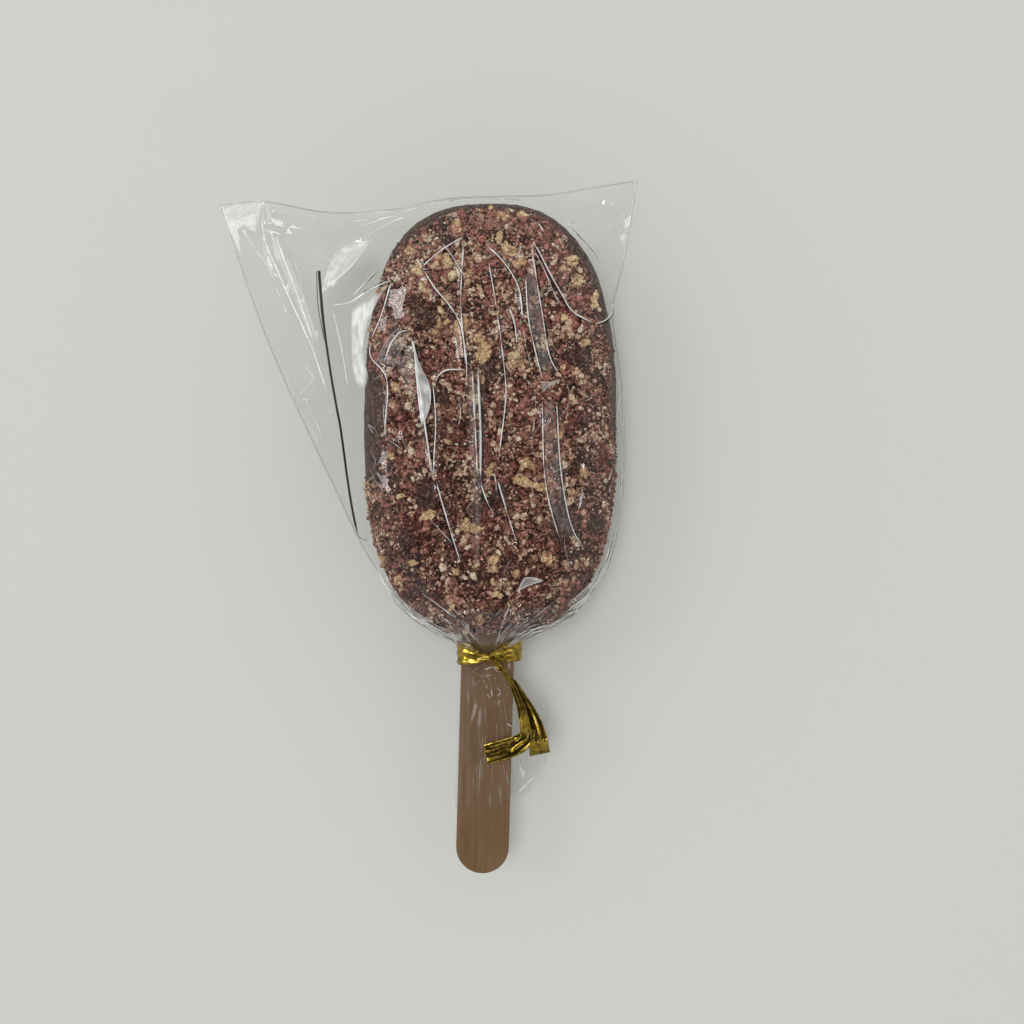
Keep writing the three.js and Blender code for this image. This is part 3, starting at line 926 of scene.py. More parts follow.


# The film's main folds: how brightly each one's edge shines, which also sets how dark the painted shade
# beside it is, and its line
FOLDS = [
    (0.9, (-4.5, 32), (-8.5, 29.5), (-12, 26.5)),
    (0.95, (-12, 26.5), (-9.5, 22.5), (-7, 19.5), (-5, 16), (-4, 8)),
    (0.55, (-4.5, 31.5), (-5, 19.5), (-4, 9.5), (-4, 4.5)),
    (0.55, (-0.5, 30), (1.5, 18), (3, 5.5), (3, 3), (1.5, -9.5)),
    (0.6, (1.5, -11.5), (3, -16.5), (5, -23)),
    (0.85, (-0.5, 30.5), (2.5, 27.5), (4.5, 24.5), (5.5, 22), (6, 16.5)),
    (0.7, (7.5, 30.5), (9.5, 18), (11, 10), (13, 6.5)),
    (0.7, (12, 3), (13, -11.5), (15, -20.5), (17.5, -24.5)),
    (0.7, (6.5, 25.5), (7, 17.5), (8, 12.5), (9.5, 6.5)),
    (0.65, (9.5, 3), (10, -11.5), (11.5, -18.5), (13, -23)),
    (1, (8, 31), (10.5, 26), (13, 21.5), (15, 18.5), (19, 16.5)),
    (0.9, (19, 16.5), (21, 17.5), (22.5, 19.5), (23, 22.5)),
    (0.45, (8, 29.5), (10, 25.5), (12, 21), (13.5, 19)),
    (0.75, (-9.5, 5.5), (-9, 7), (-7.5, 8), (-4, 8)),
    (1.5, (-2, 8.5), (-1.5, -2.5), (-1.5, -11.5)),
    (0.6, (-3, 8.5), (-2.5, -1), (-2, -11.5)),
    (0.6, (-1.5, -12), (-0.5, -15), (1, -18)),
    (1.2, (-14, 14.5), (-13, 10), (-12.5, 6), (-11.5, -1), (-10, -11.5)),
    (0.8, (-10, 6), (-9.5, -1), (-10, -11.5)),
    (0.7, (-9.5, -11.5), (-7.5, -18.5), (-5, -26.5)),
    (0.35, (-19, 3), (-18.5, -4)),
    (0.7, (-14, 15), (-15.5, 15), (-17.5, 13), (-19, 9)),
    (0.8, (-17.5, 24.5), (-19.5, 18), (-21.5, 14)),
    (0.8, (-21.5, 14), (-21.5, 11), (-18.5, 7), (-18.5, -2.5)),
    (0.85, (-30, 21.5), (-26, 21.5), (-21.5, 23.5), (-17.5, 24.5)),
    (0.55, (-29.5, 21), (-27.5, 13.5), (-26, 5)),
    (0.8, (-25.5, 22.5), (-20.5, 27)),
    (0.75, (-22, 33.5), (-28.5, 32.5)),
    (0.75, (-28.5, 32.5), (-30, 29.5), (-31.5, 25)),
    (0.85, (-31.5, 25), (-26.5, 28), (-22, 33.5)),
    (1.9, (-44, 42.5), (-44, 37), (-39, 25), (-34, 14.5), (-30, 3.5)),
    (1.8, (-41.5, 36), (-36.5, 23.5), (-33, 14)),
    (0.4, (-44, 37.5), (-43.5, 33.5), (-42.5, 29), (-38.5, 19.5)),
    (0.35, (-43.5, 42), (-38.5, 40), (-31.5, 40), (-25, 40.5), (-15, 40.5)),
    (0.45, (-43, 40), (-34.5, 37.5), (-26, 38.5), (-15.5, 38.5)),
    (0.75, (-23.5, 34.5), (-19, 37), (-15.5, 38)),
    (0.5, (-38, 5), (-33, 8.5)),
    (0.5, (-38, 5), (-40, 9.5)),
    (0.5, (-36, 5), (-32, -3.5)),
    (0.5, (-35.5, 0), (-33, -5)),
    (0.5, (-38, 4.5), (-35, 4.5)),
    (0.3, (-10.5, -31.5), (-8, -33.5), (-6.5, -34.5), (-3, -39)),
    (0.35, (-12.5, -31.5), (-9, -34), (-7, -35.5), (-5, -37), (-2, -41)),
    (0.3, (13.5, -32), (8.5, -36), (3.5, -41)),
    (0.9, (3.5, 19.5), (4.5, 16.5), (5, 13)),
    (0.6, (14, 35), (16.5, 32.5), (19, 30), (20.5, 27.5)),
    (0.9, (23, 23.5), (25, 16.5), (25.5, 4.5), (26, -15.5)),
    (1, (26, -15.5), (24.5, -25), (20.5, -33.5), (14, -36)),
    (0.3, (-13, 40.5), (-3.5, 40), (6.5, 40)),
    (0.2, (4.5, -32), (2.5, -37), (1, -42)),
    (0.7, (-44, 37.5), (-41, 36.5), (-40, 36)),
    (0.9, (-42.5, 41.5), (-41.5, 40.5)),
    (0.8, (-25.5, 37), (-20, 38.5), (-12.5, 40.5)),
    (0.9, (24.5, -8.5), (25, -16), (22.5, -25.5), (19.5, -33.5), (12, -38.5)),
    (0.6, (22.5, -23), (19, -31), (12.5, -36.5)),
    (0.5, (23.5, -20), (21.5, -28), (16.5, -34.5), (9, -39)),
    (0.7, (-21.5, -27), (-17, -34), (-11.5, -38), (-6.5, -41.5)),
    (0.5, (-19.5, -28), (-15.5, -34), (-8, -39.5)),
]

# Where the film is crumpled: how glossy it is there inside and at the border, and its two side lines
CRUMPLED = [
    (0.6, 1, [(-32, 24), (-28.5, 32.5), (-21.5, 34)], [(-32, 24), (-26.5, 28), (-21.5, 34)]),
    (0.75, 0.15, [(-25.5, 20.5), (-25.5, 14.5), (-25, 8), (-23.5, 4.5)],
     [(-18.5, 23.5), (-22, 17.5), (-23, 12), (-22, 8), (-22, 5)]),
    (0.95, 0.9, [(-13.5, 13.5), (-13, 6.5), (-12, -2.5)],
     [(-13.5, 13.5), (-12.5, 9.5), (-10.5, 5), (-10.5, 1.5), (-12, -2.5)]),
    (0.55, 1, [(5, -31.5), (6.5, -29), (10, -29.5)], [(5, -31.5), (7, -30.5), (10, -29.5)]),
    (0.35, 0.7, [(9, 6), (11, 6), (13, 6.5)], [(9.5, 4), (10.5, 5), (13, 6.5)]),
    (0.12, 0.25, [(-20.5, 9.5), (-18.5, 13.5), (-16, 16)], [(-17, 8.5), (-15.5, 12), (-14, 14.5)]),
    (0.1, 0.05, [(-17, 10), (-15.5, 6), (-13, 1.5)], [(-13.5, 13), (-13.5, 8), (-13, 2)]),
    (0.4, 0.6, [(24, 20), (24.5, 5), (25, -14)], [(24.5, 18), (26.5, 4), (26.5, -14)]),
    (0.5, 0.9, [(14, 35.5), (16.5, 35.5)], [(14.5, 33.5), (16, 33.5)]),
    (0.13, 0, [(7.5, 29), (9.5, 18), (11, 10), (12.5, 7)], [(6.5, 26), (7, 17.5), (9.5, 6.5)]),
    (0.1, 0, [(12, 3), (13, -11.5), (16, -23.5)], [(9.5, 3), (10, -11.5), (13, -22.5)]),
    (0.07, 0, [(-4, 8), (-3.5, -10), (-3, -29)], [(-1, 8), (-1, -10), (-1.5, -29)]),
    (0.25, 0.75, [(26, -13), (25.5, -21), (22, -29), (14.5, -36)],
     [(25, -13), (24, -21), (20.5, -28), (13.5, -34.5)]),
    (0.3, 0.55, [(-25, -21), (-22, -29), (-16, -36), (-8, -40.5)],
     [(-23.5, -21), (-20.5, -28), (-15, -34), (-7.5, -39)]),
    (0.25, 0.25, [(-53, 42), (-48, 43.5), (-44, 43.5)], [(-52, 39), (-48, 38.5), (-44.5, 38.5)]),
    (0.22, 0.2, [(-43.5, 37), (-38, 25), (-33, 13.5)], [(-41, 36), (-35, 22.5), (-32, 13.5)]),
]


def main_folds():
    """The folds with their heights and widths, larger the brighter they are."""
    folds = []
    for shine, *points in FOLDS:
        size = min(shine, 1.2)
        folds.append((points, 0.25 + 0.3 * size, 0.7 + 0.5 * size, shine))
    return folds


def bent(start, step, bend):
    """Three points of a line from start by step, bent aside by bend in its middle."""
    return [start, start + step / 2 + bend, start + step]


SHORT_CREASES = 90  # strewn over the front sheet
PLEATS = 60  # at the knot
PLEAT_FAN = math.radians(74)  # how far to each side they fan out


def chance_folds(rng):
    """Small creases: fans of them from the corners, and short ones anywhere."""
    folds = []
    # where a fan starts, what it points to, how many creases and how long they reach
    fans = [
        ((BAG_LOW[0] + 2, 41.5), (-28, 8), 4, 26),
        ((BAG_HIGH[0] - 1.5, 45), (16, 26), 5, 18),
        ((-43.8, 41), (-26, 20), 4, 22),
    ]
    for (x, y), (to_x, to_y), count, length in fans:
        aim = math.atan2(to_y - y, to_x - x)
        for _ in range(count):
            step = heading(aim + rng.normal(0, 0.35))
            near, far = rng.uniform(0.5, 6), length * rng.uniform(0.4, 1)
            ends = [(x, y) + near * step, (x, y) + (near + far) * step]
            folds.append((ends, rng.uniform(0.1, 0.35), rng.uniform(0.6, 1.3), rng.uniform(0, 0.3)))
    for _ in range(SHORT_CREASES):
        x, y = rng.uniform(BAG_LOW[0] + 4, BAG_HIGH[0] - 2), rng.uniform(-34, 41)
        angle = math.pi / 2 + rng.normal(0, 0.5) + (0.35 if x < -24 else 0)
        step = rng.uniform(2, 9) * heading(angle)
        points = bent((x, y), step, (-step[1] * 0.1, step[0] * 0.1) * rng.normal(0, 1, 2))
        folds.append((points, rng.uniform(0.06, 0.25), rng.uniform(0.5, 1.1), rng.uniform(0, 0.35)))
    return folds


def pleats(rng):
    """The sharp pleats that fan out of the knot, the longest to its sides."""
    folds = []
    for share in np.linspace(-1, 1, PLEATS):
        outward = heading(PLEAT_FAN * share + rng.normal(0, 0.05))[::-1]
        near = rng.uniform(0.6, 2.5) + 2.5 * abs(share)
        far = near + rng.uniform(4, 9) + 11 * abs(share) ** 3 * rng.uniform(0.3, 1)
        bend = 0.12 * share * far * np.array([-outward[1], outward[0]])
        points = bent(KNOT + near * outward, (far - near) * outward, bend)
        height, width = rng.uniform(0.25, 0.6), rng.uniform(0.25, 0.5)
        shine = rng.uniform(0, 0.11) * (0.55 + abs(share)) + 0.24 * share**2
        folds.append((points, height, width, shine))
    return folds


ABOVE_ALL = 60  # a height from which rays down meet the whole bag


class Draped:
    """A surface to lay things on."""

    def __init__(self, points, faces):
        corners = [tuple(p) for p in np.asarray(points).reshape(-1, 3)]
        self.tree = BVHTree.FromPolygons(corners, faces.tolist())

    def under(self, x, y):
        """The surface's point under a place, or None where it doesn't reach there."""
        return self.tree.ray_cast(Vector((x, y, ABOVE_ALL)), Vector((0, 0, -1)))[0]

    def lay(self, places):
        """The surface's points under places, where it lies under them."""
        found = [self.under(x, y) for x, y in places]
        return np.array([point for point in found if point is not None])

    def cover(self, places):
        """The surface's point under each place, or its nearest where it doesn't reach there."""
        found = []
        for x, y in places:
            point = self.under(x, y)
            found.append(self.tree.find_nearest(Vector((x, y, 8)))[0] if point is None else point)
        return np.array(found)

    def nearest(self, places, up):
        """The surface's nearest point to each place, with its normal on the side of up."""
        hits = [self.tree.find_nearest(Vector(place)) for place in places]
        found = np.array([hit[0] for hit in hits])
        normals = np.array([hit[1] for hit in hits])
        flip = (normals * up).sum(-1, keepdims=True) < 0
        return found, np.where(flip, -normals, normals)


STRIP_OFFSETS = np.array([-1, -0.55, 0, 0.55, 1])  # a strip's points across it
STRIP_FADE = np.array([0.3, 0.95, 1, 0.95, 0.3])  # how its shine fades across it
STRIP_SUNK = 0.02  # how far its edges lie below its line
FEWEST_POINTS = 6  # in a crease that is long enough to show


def strip(line, half_widths, rise):
    """A slim rounded strip along a line: its points, row by row, and its faces."""
    across = units(np.cross(np.gradient(line, axis=0), (0, 0, 1)))
    points = line[:, None] + across[:, None] * (STRIP_OFFSETS * half_widths[:, None])[..., None]
    points[..., 2] += rise * (1 - STRIP_OFFSETS**2) - STRIP_SUNK
    return points.reshape(-1, 3), grid_faces(len(line), len(STRIP_OFFSETS))


def strips_piece(name, strips, material, shines=None):
    """Many strips, joined into one piece. shines gives each one's shine along its middle."""
    if shines is None:
        return joined_piece(name, [(*part, None) for part in strips], material)
    values = [np.outer(shine, STRIP_FADE).ravel() for shine in shines]
    parts = [(*part, value) for part, value in zip(strips, values)]
    return joined_piece(name, parts, material, "shine")


def make_creases(name, surface, folds, material, rng, aside=0.0, strength=1.0, faintest=0.08):
    """Thin strips along folds, or aside of them: their bright pressed edges, or dark lines of painted
    shade.

    Those aside are the painted shade, which shows over the cake and at the neck.
    """
    strips, shines = [], []
    for points, _, _, shine in folds:
        shine *= strength
        if shine < faintest:
            continue
        length = steps(spline(points, FOLD_POINTS)).sum()
        path = spline(points, max(8, int(length / CREASE_STEP)))
        along = np.gradient(path, axis=0)
        side = units(np.stack([-along[:, 1], along[:, 0]], -1))
        line = surface.lay(path + aside * rng.choice([-1, 1]) * rng.uniform(0.7, 1.5) * side)
        if len(line) < FEWEST_POINTS:
            continue
        ends = faded(np.linspace(0, 1, len(line)), FOLD_TAPER, FOLD_TAPER)
        # its width and shine wander along it, and a faint crease's more than a bright one's
        wander = 0.95 / (0.5 + shine) * noise_at(line, 2.5, rng.uniform(0, 50))
        uneven = np.clip(0.88 + wander, 0.25, 1.6)
        # the painted shade is full over the cake and at the neck, and faint elsewhere
        if aside:
            over = outline_share(line[:, 0], line[:, 1], HALF_WIDTH, HALF_LENGTH) < 1
            neck = (line[:, 1] < NECK_Y + 5) & (np.abs(line[:, 0]) < 7)
            ends = ends * np.where(over | neck, 1, 0.1)
        line[:, 2] += 0.03
        strips.append(strip(line, (0.06 + 0.085 * shine) * (0.25 + 0.75 * ends) * uneven, 0.05))
        shines.append(np.clip(1.9 * shine * ends * uneven, 0, 1))
    return strips_piece(name, strips, material, shines)


def crumpling(points, gap, length, fill, border, seed):
    """How glossy a crumpled sheet is, from its rows of points, their widths and its length."""
    share, s = np.linspace(0, 1, CRUMPLED_COLUMNS), np.linspace(0, 1, CRUMPLED_ROWS)
    inside = gap * np.minimum(share, 1 - share)
    grain = np.stack(np.broadcast_arrays(gap * share, 0.12 * length * s[:, None], 9.0 * seed), -1)
    # streaks run along the sheet, and patches lie anywhere in it
    streaks = noise_at(grain.reshape(-1, 3), 0.45).reshape(inside.shape)
    patches = noise_at(points.reshape(-1, 3), 1.5, 4.0).reshape(inside.shape)
    gloss = fill * np.clip(0.9 + 0.7 * streaks + 0.5 * patches, 0.15, 1.6)
    gloss = gloss * smoothstep(inside, 0, 0.5) + border * np.exp(-((inside / 0.2) ** 2))
    # a sheet that hangs down the cake's side is stretched, and so less glossy
    slope = np.gradient(points[..., 2], axis=1) / (gap / CRUMPLED_COLUMNS + 0.01)
    steep = np.maximum(np.abs(slope) - 1.5, 0)
    return np.clip(gloss * faded(s, 0.1, 0.14)[:, None] / np.sqrt(1 + steep**2), 0, 1)


def make_crumpled(surface, material):
    """Sheets of crumpled film, streaked along and glossiest at their borders."""
    parts = []
    share = np.linspace(0, 1, CRUMPLED_COLUMNS)[:, None]
    for k, (fill, border, first, second) in enumerate(CRUMPLED):
        first, second = spline(first, CRUMPLED_ROWS), spline(second, CRUMPLED_ROWS)
        places = first[:, None] + share * (second - first)[:, None]
        points = surface.cover(places.reshape(-1, 2))
        points[:, 2] += 0.07
        rows = points.reshape(CRUMPLED_ROWS, CRUMPLED_COLUMNS, 3)
        gap = np.linalg.norm(second - first, axis=1)[:, None]
        shine = crumpling(rows, gap, steps(first).sum(), fill, border, k)
        parts.append((points, grid_faces(CRUMPLED_ROWS, CRUMPLED_COLUMNS), shine.ravel()))
    return joined_piece("film_glare", parts, material, "shine")


GATHER_PLEATS = 23


def gathered(front):
    """The front sheet's part at the neck, drawn up into pleats that grow towards the tie."""
    sheet = front[-GATHER_ROWS:-4].copy()
    t = np.linspace(0, 1, len(sheet))[:, None]
    s = np.linspace(0, 1, sheet.shape[1])[None, :]
    waves = zigzag(s * GATHER_PLEATS + 0.35 * np.sin(9 * s + 5 * t)) * (0.3 + 0.7 * np.sin(math.pi * s))
    sheet[..., 2] += (0.12 + 0.55 * waves * smoothstep(t, 0.1, 0.8)) * smoothstep(t, 0, 0.2)
    return sheet


def make_bag(film, haze, crease, shade):
    """The bag from its closed top to the neck: its sheets, creases, crumpled sheets and gather."""
    rng = np.random.default_rng(7)
    front = taut_sheet(1, over_cake, FRONT_ROWS, FRONT_COLUMNS)
    folds = main_folds() + chance_folds(rng) + pleats(rng)
    for points, height, width, _ in folds:
        add_fold(front, points, height, width)
    ripple = noise_at(front.reshape(-1, 3) * (1, 0.5, 0), 7.0, 5.0).reshape(front.shape[:2])
    front[..., 2] += 0.1 * ripple
    edge = spanned_sheet(*front.shape[:2])
    for side in (np.s_[0], np.s_[:, 0], np.s_[:, -1]):
        front[side] = edge[side]
    faces = grid_faces(*front.shape[:2])[:, ::-1]
    back = taut_sheet(-1, under_cake, BACK_ROWS, BACK_COLUMNS)
    surface = Draped(front, faces)
    gather = gathered(front)
    pieces = [
        mesh_piece("film_front", front, faces, film),
        mesh_piece("film_back", back, grid_faces(*back.shape[:2]), film),
        make_creases("film_creases", surface, folds, crease, rng),
        # dark strips of painted shade beside the folds
        make_creases("film_painted_shades", surface, folds, shade, rng, 0.24, 0.75),
        make_crumpled(surface, crease),
        mesh_piece("film_gather", gather, grid_faces(*gather.shape[:2])[:, ::-1], haze),
    ]
    return pieces, surface, edge


def make_edges(edge, material):
    """The bag's cut and folded edges, which show as thin grey lines of painted shade."""
    lines = [side[::3] + (0, 0, 0.05) for side in (edge[0], edge[:, 0], edge[:, -1])]
    strips = [strip(line, np.full(len(line), 0.17), 0.06) for line in lines]
    return strips_piece("film_painted_shade_edges", strips, material)


SKIRT_ROWS, SKIRT_COLUMNS = 110, 170
SLEEVE_FOLDS = 30  # the folds down the skirt
CRUMPLES = 60  # the tiny creases under the knot
FAINT_LINES = 40  # the faint long ones over the stick

# The skirt of film below the tie: y, left and right edges, half height, and how slanting it is cut
SKIRT = [
    (-43.2, -6.1, 5.5, 2.8, 0),
    (-46.8, -6.1, 5.5, 2.9, 0),
    (-50, -6.2, 8.0, 3.2, 0),
    (-53.5, -6.5, 11.0, 3.4, 0),
    (-61, -6.8, 11.3, 3.3, 0.05),
    (-67.5, -7.1, 10.5, 3.0, 0.2),
    (BAG_LOW[1], -7.3, 8.7, 2.7, 0.42),
]


def skirt_folds(rng):
    """Creases that fan down the skirt from the tie, and the crumpling under the knot."""
    by_hand = [
        (0.15, (-4.5, -46.5), (-2, -48), (0.5, -48)),
        (0.75, (-1, -47), (0.5, -46.5), (1.5, -47.5)),
        (0.3, (-1, -47.5), (0, -49.5), (0.5, -52)),
        (0.4, (5.5, -45.5), (8.5, -50.5), (10, -54.5), (10.5, -58.5), (9.5, -65.5)),
        (0.25, (6.5, -50.5), (9, -56), (9.5, -62)),
        (1.0, (5.5, -65), (6, -66.5), (6.5, -67.5)),
        (0.9, (6.5, -66), (6, -67.5)),
        (0.4, (3, -57), (4, -57.5), (4.5, -57.5)),
        (0.3, (5, -63), (7.5, -65.5), (9.5, -65)),
        (0.5, (9, -66.5), (6.5, -69), (5, -70.5)),
    ]
    folds = [(points, 0, 0, shine) for shine, *points in by_hand]
    for _ in range(CRUMPLES):
        x, y = rng.normal(0.9, 1.5), rng.normal(-50.5, 2.6)
        turn = rng.uniform(-1.4, 1.4)
        step = rng.uniform(0.4, 1.5) * np.array([math.sin(turn), -math.cos(turn)])
        points = bent((x, y), step, rng.normal(0, 0.15, 2))
        folds.append((points, 0, 0, rng.uniform(0.1, 0.5) ** 1.8))
    for _ in range(FAINT_LINES):
        x, y = rng.uniform(-4, 4.5), rng.uniform(-66, -48)
        lean = 0.05 * x + rng.normal(-0.02, 0.08)
        reach = rng.uniform(4, 12)
        points = [(x, y), (x + lean * reach * 0.6, y - reach / 2), (x + lean * reach, y - reach)]
        folds.append((points, 0, 0, rng.uniform(0.03, 0.09)))
    return folds


def skirt_sleeve(rng):
    """The skirt's points: a sleeve with folds down it and a ragged end."""
    stations = np.array(SKIRT)
    y = np.linspace(stations[0, 0], stations[-1, 0], SKIRT_ROWS)
    left, right, half, slant = (
        np.interp(-y, -stations[:, 0], stations[:, k])[:, None] for k in range(1, 5)
    )
    angles = np.linspace(0, 2 * math.pi, SKIRT_COLUMNS, endpoint=False)[None, :]
    t = np.linspace(0, 1, SKIRT_ROWS)[:, None]
    folds = np.zeros((SKIRT_ROWS, SKIRT_COLUMNS))
    for _ in range(SLEEVE_FOLDS):
        centre = rng.uniform(0, 2 * math.pi) + rng.normal(0, 0.5) * t
        gap = np.abs((angles - centre + math.pi) % (2 * math.pi) - math.pi)
        width = rng.uniform(0.05, 0.16)
        start = rng.uniform(0, 0.35)
        rise = smoothstep(t, start, start + 0.15) * rng.uniform(0.3, 1.0)
        folds += rise * ridge(gap, width, 0.02)
    depth = 0.16 - 0.1 * np.clip(folds, 0, 1.6)
    x, z = outline(angles, (right - left) / 2, half, 2.6)
    x, z = (left + right) / 2 + x * (1 - 0.5 * depth), STICK_Z + z * (1 - 2 * depth)
    ragged = 0.5 * np.sin(3 * angles + 1) + 0.3 * np.sin(7 * angles)
    rise = np.maximum(0, x - NECK_MIDDLE_X) * slant + ragged * t**4
    return np.stack([x, y[:, None] + rise, z], -1)


def make_skirt(material, crease):
    """The loose film below the tie: a crumpled sleeve along the stick, with its creases."""
    rng = np.random.default_rng(23)
    points = skirt_sleeve(rng)
    faces = grid_faces(SKIRT_ROWS, SKIRT_COLUMNS, wrap=True)
    folds = skirt_folds(rng)
    return [
        mesh_piece("film_skirt", points, faces, material),
        make_creases("skirt_creases", Draped(points, faces), folds, crease, rng, faintest=0.02),
    ]


def make_seam(surface, material):
    """The slim dark line of the bag's folded seam on the left wing, with its short foot; its darkness
    is painted shade.
    """
    lines = [
        spline([(-32.5, 28.5), (-31.5, 19.5), (-29, 3.5), (-28, -2), (-26, -22)], 90),
        spline([(-33, 28.5), (-32.5, 21.5), (-31, 14.5)], 40),
        spline([(-26, -22), (-24.5, -22.5), (-23, -22.5)], 12),
    ]
    seam, beside, foot = (surface.lay(line) + (0, 0, 0.12) for line in lines)
    s = np.linspace(0, 1, len(seam))
    half = 0.19 * smoothstep(1 - s, 0, 0.05) + 0.05 * smoothstep(0.3 - s, 0, 0.1) + 0.03
    strips = [strip(seam, half, 0.06)]
    strips += [strip(line, np.full(len(line), 0.07), 0.05) for line in (beside, foot)]
    return strips_piece("film_seam_painted_shade", strips, material)


# ---- Twist tie ----

TIE_TOP = STICK_Z + NECK_HALF_HEIGHT + 0.9  # the height of the band's top
RIBBON_COLUMNS = 17  # points across a ribbon
BAND_POINTS = 150  # round the neck
FOIL_THICKNESS = 0.12


def ribbon(name, stations, count, material, rng):
    """A foil ribbon through stations, with pressed lines along it and crinkles."""
    values = np.array(stations, float)
    values[:, 2] += TIE_TOP
    line, roll, width = np.split(spline(values, count), [3, 4], axis=1)
    along = units(np.gradient(line, axis=0))
    reference = units(np.cross(along, (0, 0, 1)))
    up = np.cross(reference, along)
    roll = np.radians(roll)
    across = reference * np.cos(roll) + up * np.sin(roll)
    normal = up * np.cos(roll) - reference * np.sin(roll)
    s = np.linspace(-1, 1, RIBBON_COLUMNS)[None, :]
    half = width / 2
    lift = foil_relief(count, s, 0.18, rng.uniform(0, 60)) * np.minimum(half / 1.6, 1)
    points = line[:, None] + across[:, None] * (s * half)[..., None]
    return foil_piece(name, points + normal[:, None] * lift[..., None], material)


def foil_relief(count, s, depth, seed):
    """The height of a foil ribbon's pressed lines and crinkles, s being -1 to 1 across it."""
    places = np.stack(np.broadcast_arrays(np.arange(count)[:, None] * 0.2, s * 2, 0 * s), -1)
    crinkle = noise_at(places.reshape(-1, 3), 1.1, seed).reshape(count, -1)
    slow = noise_at(places.reshape(-1, 3), 2.6, seed + 7).reshape(count, -1)
    lines = zigzag(1.25 * s + 0.35 * slow)
    return depth * (lines + 0.35 * np.abs(crinkle) + 0.8 * slow)


def foil_piece(name, points, material):
    """Foil of some thickness over a grid of points."""
    piece = mesh_piece(name, points, grid_faces(*points.shape[:2]), material)
    thick = piece.modifiers.new("foil", "SOLIDIFY")
    thick.thickness = FOIL_THICKNESS * MM
    thick.offset = 0
    return piece


# The tie's ribbons, as stations: x, y, height over TIE_TOP, roll in degrees and width
TAIL_STRAIGHT = [
    (KNOT[0] - 2.4, -44.4, -0.2, 0, 2.2),
    (KNOT[0], -44.2, 0.5, 20, 1.5),
    (1.6, -45.9, 0.7, 150, 1.1),
    (3.9, -48.3, 0.5, 290, 1.0),
    (5.9, -51.5, 0.6, 360, 1.5),
    (7.7, -55.2, 0.6, 364, 2.6),
    (8.7, -58.5, 0.5, 368, 3.4),
    (9.3, -62.5, 0.1, 372, 3.9),
]
TWIST = [
    (KNOT[0] + 3, -43.4, -0.1, 0, 2.4),
    (KNOT[0] + 0.6, -44.2, 0.8, 40, 1.5),
    (1.4, -46.0, 0.4, 170, 1.1),
    (3.5, -48.6, 0.9, 330, 1.0),
    (5.0, -51.4, 1.0, 360, 1.2),
    (6.1, -54.5, 1.2, 360, 1.7),
    (6.7, -57.0, 1.5, 360, 2.0),
    (6.9, -58.8, 1.7, 360, 2.2),
]
TAIL_BENT = [
    (7.3, -57.4, 1.2, -8, 2.4),
    (6.6, -59.2, 1.5, 4, 3.0),
    (5.4, -60.3, 1.5, 10, 3.7),
    (2.6, -61.4, 1.2, 0, 3.8),
    (-0.85, -62.35, 0.8, -8, 3.7),
]


def make_tie(material):
    """The twist tie: its band round the neck, the two ends that cross, and their tails."""
    rng = np.random.default_rng(5)
    return [
        band_ribbon("tie_band", material),
        ribbon("tie_tail_straight", TAIL_STRAIGHT, 90, material, rng),
        ribbon("tie_twist", TWIST, 70, material, rng),
        ribbon("tie_tail_bent", TAIL_BENT, 60, material, rng),
    ]


def band_ribbon(name, material):
    """The tie's band: a foil ribbon round the neck, pinched together under the knot."""
    angles = np.linspace(0, 2 * math.pi, BAND_POINTS) + math.pi / 2
    bx, bz = outline(angles, BAND_HALF_WIDTH, NECK_HALF_HEIGHT + 0.7, 3)
    pinch = np.exp(-((bx / 2.4) ** 2)) * (bz > 0)
    x = NECK_MIDDLE_X + bx
    y = BAND_Y + bx * math.tan(NECK_TILT) - 0.9 * pinch
    line = np.stack([x, y, STICK_Z + bz + 0.35 * pinch], -1)
    out = units(np.stack([bx, 0 * bx, bz], -1))
    s = np.linspace(-1, 1, RIBBON_COLUMNS)[None, :]
    half = 2.15 - 1.4 * pinch[:, None]
    points = line[:, None] + out[:, None] * foil_relief(BAND_POINTS, s, 0.24, 3.0)[..., None]
    points[..., 1] += s * half
    return foil_piece(name, points, material)


# ---- Studio ----

CAMERA_PLACE = (4.1, -17.25, 240.8)  # millimetres
FLOOR_REACH = 3000
FOCAL_SHARE = 1200 / 1024  # focal length over the picture's width
TENT_HOLE = 0.7  # the sine of the angle that the dark patch reaches from overhead
TENT_HOLE_SHIFT = 0.15  # how far it lies towards the stick, as a share of its size

# The softboxes: place and size in metres, radiance, and whether they light or only show in gloss
SOFTBOXES = [
    ("overhead", (-0.2, 0.1, 2.0), (0.8, 0.8), 7.5, "light"),
    ("side", (-0.9, 0.3, 1.0), (0.3, 0.3), 2.6, "light"),
    ("key", (-0.75, 0.35, 1.0), (0.3, 0.3), 9, "gloss"),
    ("window", (-1.1, 0.15, 0.66), (0.35, 0.25), 7, "gloss"),
    ("small_right", (0.7, -0.1, 0.95), (0.12, 0.1), 16, "gloss"),
    ("small_front", (0.15, -0.75, 1.0), (0.12, 0.1), 24, "gloss"),
]


def make_camera():
    """Straight above the pop, looking down."""
    data = bpy.data.cameras.new("camera")
    data.sensor_width = 36
    data.lens = data.sensor_width * FOCAL_SHARE
    data.clip_start = 0.01
    camera = add_object("camera", data)
    camera.location = np.array(CAMERA_PLACE) * MM
    bpy.context.scene.camera = camera


def make_softbox(name, place, size, radiance, use):
    """A softbox that faces the pop, its size given along and across the horizon."""
    data = bpy.data.lights.new(name, "AREA")
    data.shape = "RECTANGLE"
    data.size, data.size_y = size
    data.energy = math.pi * radiance * size[0] * size[1]
    light = add_object(name, data)
    light.location = place
    light.rotation_euler = Vector(place).to_track_quat("Z", "Y").to_euler()
    light.visible_diffuse = use == "light"
    light.visible_glossy = use == "gloss"


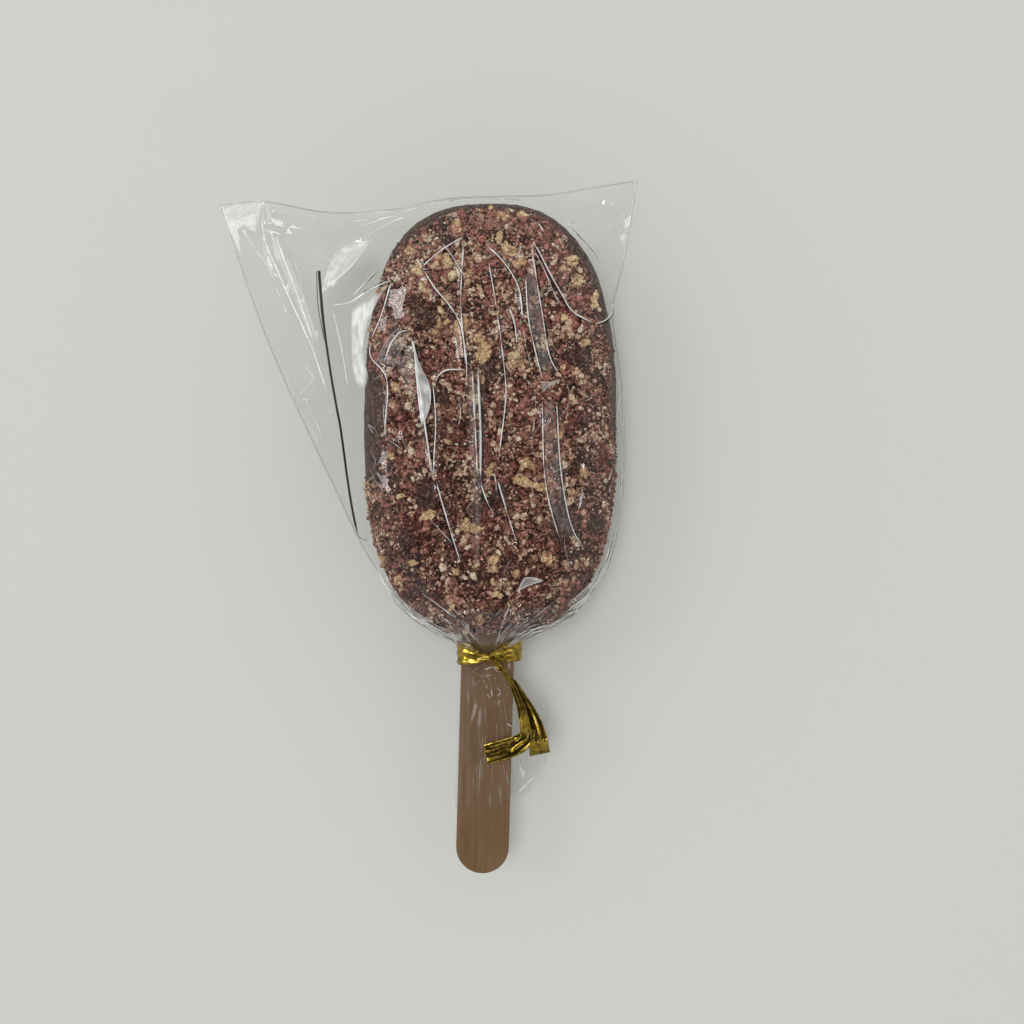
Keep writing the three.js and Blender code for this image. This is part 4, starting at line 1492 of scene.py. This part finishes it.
def make_tent():
    """A white light tent with a dark patch overhead, where the camera looks in."""
    world = bpy.data.worlds.new("tent")
    world.use_nodes = True
    tree = world.node_tree
    coordinates = tree.nodes.new("ShaderNodeTexCoord")
    place = tree.nodes.new("ShaderNodeMapping")
    place.inputs["Location"].default_value = (0, TENT_HOLE_SHIFT, 0)
    place.inputs["Scale"].default_value = (1 / TENT_HOLE, 1 / TENT_HOLE, 0)
    hole = tree.nodes.new("ShaderNodeTexGradient")
    hole.gradient_type = "SPHERICAL"
    wall = tree.nodes.new("ShaderNodeValToRGB")
    bright, dark = wall.color_ramp.elements
    bright.position, bright.color = 0.0, (0.56, 0.57, 0.555, 1)
    dark.position, dark.color = 0.4, (0.03, 0.03, 0.03, 1)
    tree.links.new(coordinates.outputs["Generated"], place.inputs["Vector"])
    tree.links.new(place.outputs["Vector"], hole.inputs["Vector"])
    tree.links.new(hole.outputs["Fac"], wall.inputs["Fac"])
    tree.links.new(wall.outputs["Color"], tree.nodes["Background"].inputs["Color"])
    bpy.context.scene.world = world


def make_studio():
    make_tent()
    bpy.context.scene.view_settings.view_transform = "Standard"
    for softbox in SOFTBOXES:
        make_softbox(*softbox)
    corners = [(-1, -1, 0), (1, -1, 0), (1, 1, 0), (-1, 1, 0)]
    corners = np.array(corners) * FLOOR_REACH
    floor = mesh_piece("floor", corners, [(0, 1, 2, 3)], floor_material())


# ---- The pop ----


def main():
    make_camera()
    make_studio()

    rings = cake_surface(-CRUMB_COAT)
    cake = make_cake(rings, chocolate_material())
    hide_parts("cake")
    coating = make_coating(rings)

    film = film_material("clear_film", (0.997, 0.998, 0.997), 0.03, 0.05)
    haze = film_material("gathered_film", (0.955, 0.955, 0.95), 0.03, 0.2, veil=0.01)
    crease = creased_film()
    wrapping, surface, edge = make_bag(film, haze, crease, painted_shade_material())
    wrapping += make_skirt(haze, crease)
    wrapping += [make_edges(edge, painted_shade_edge_material()), make_seam(surface, painted_shade_seam_material())]
    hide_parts("bag")

    tie = make_tie(foil_material())
    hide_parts("tie")

    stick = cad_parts["stick"]
    stick.data.materials.clear()
    stick.data.materials.append(wood_material())

    for piece in (cake, *coating, *wrapping, *tie):
        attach(piece, "root")


main()
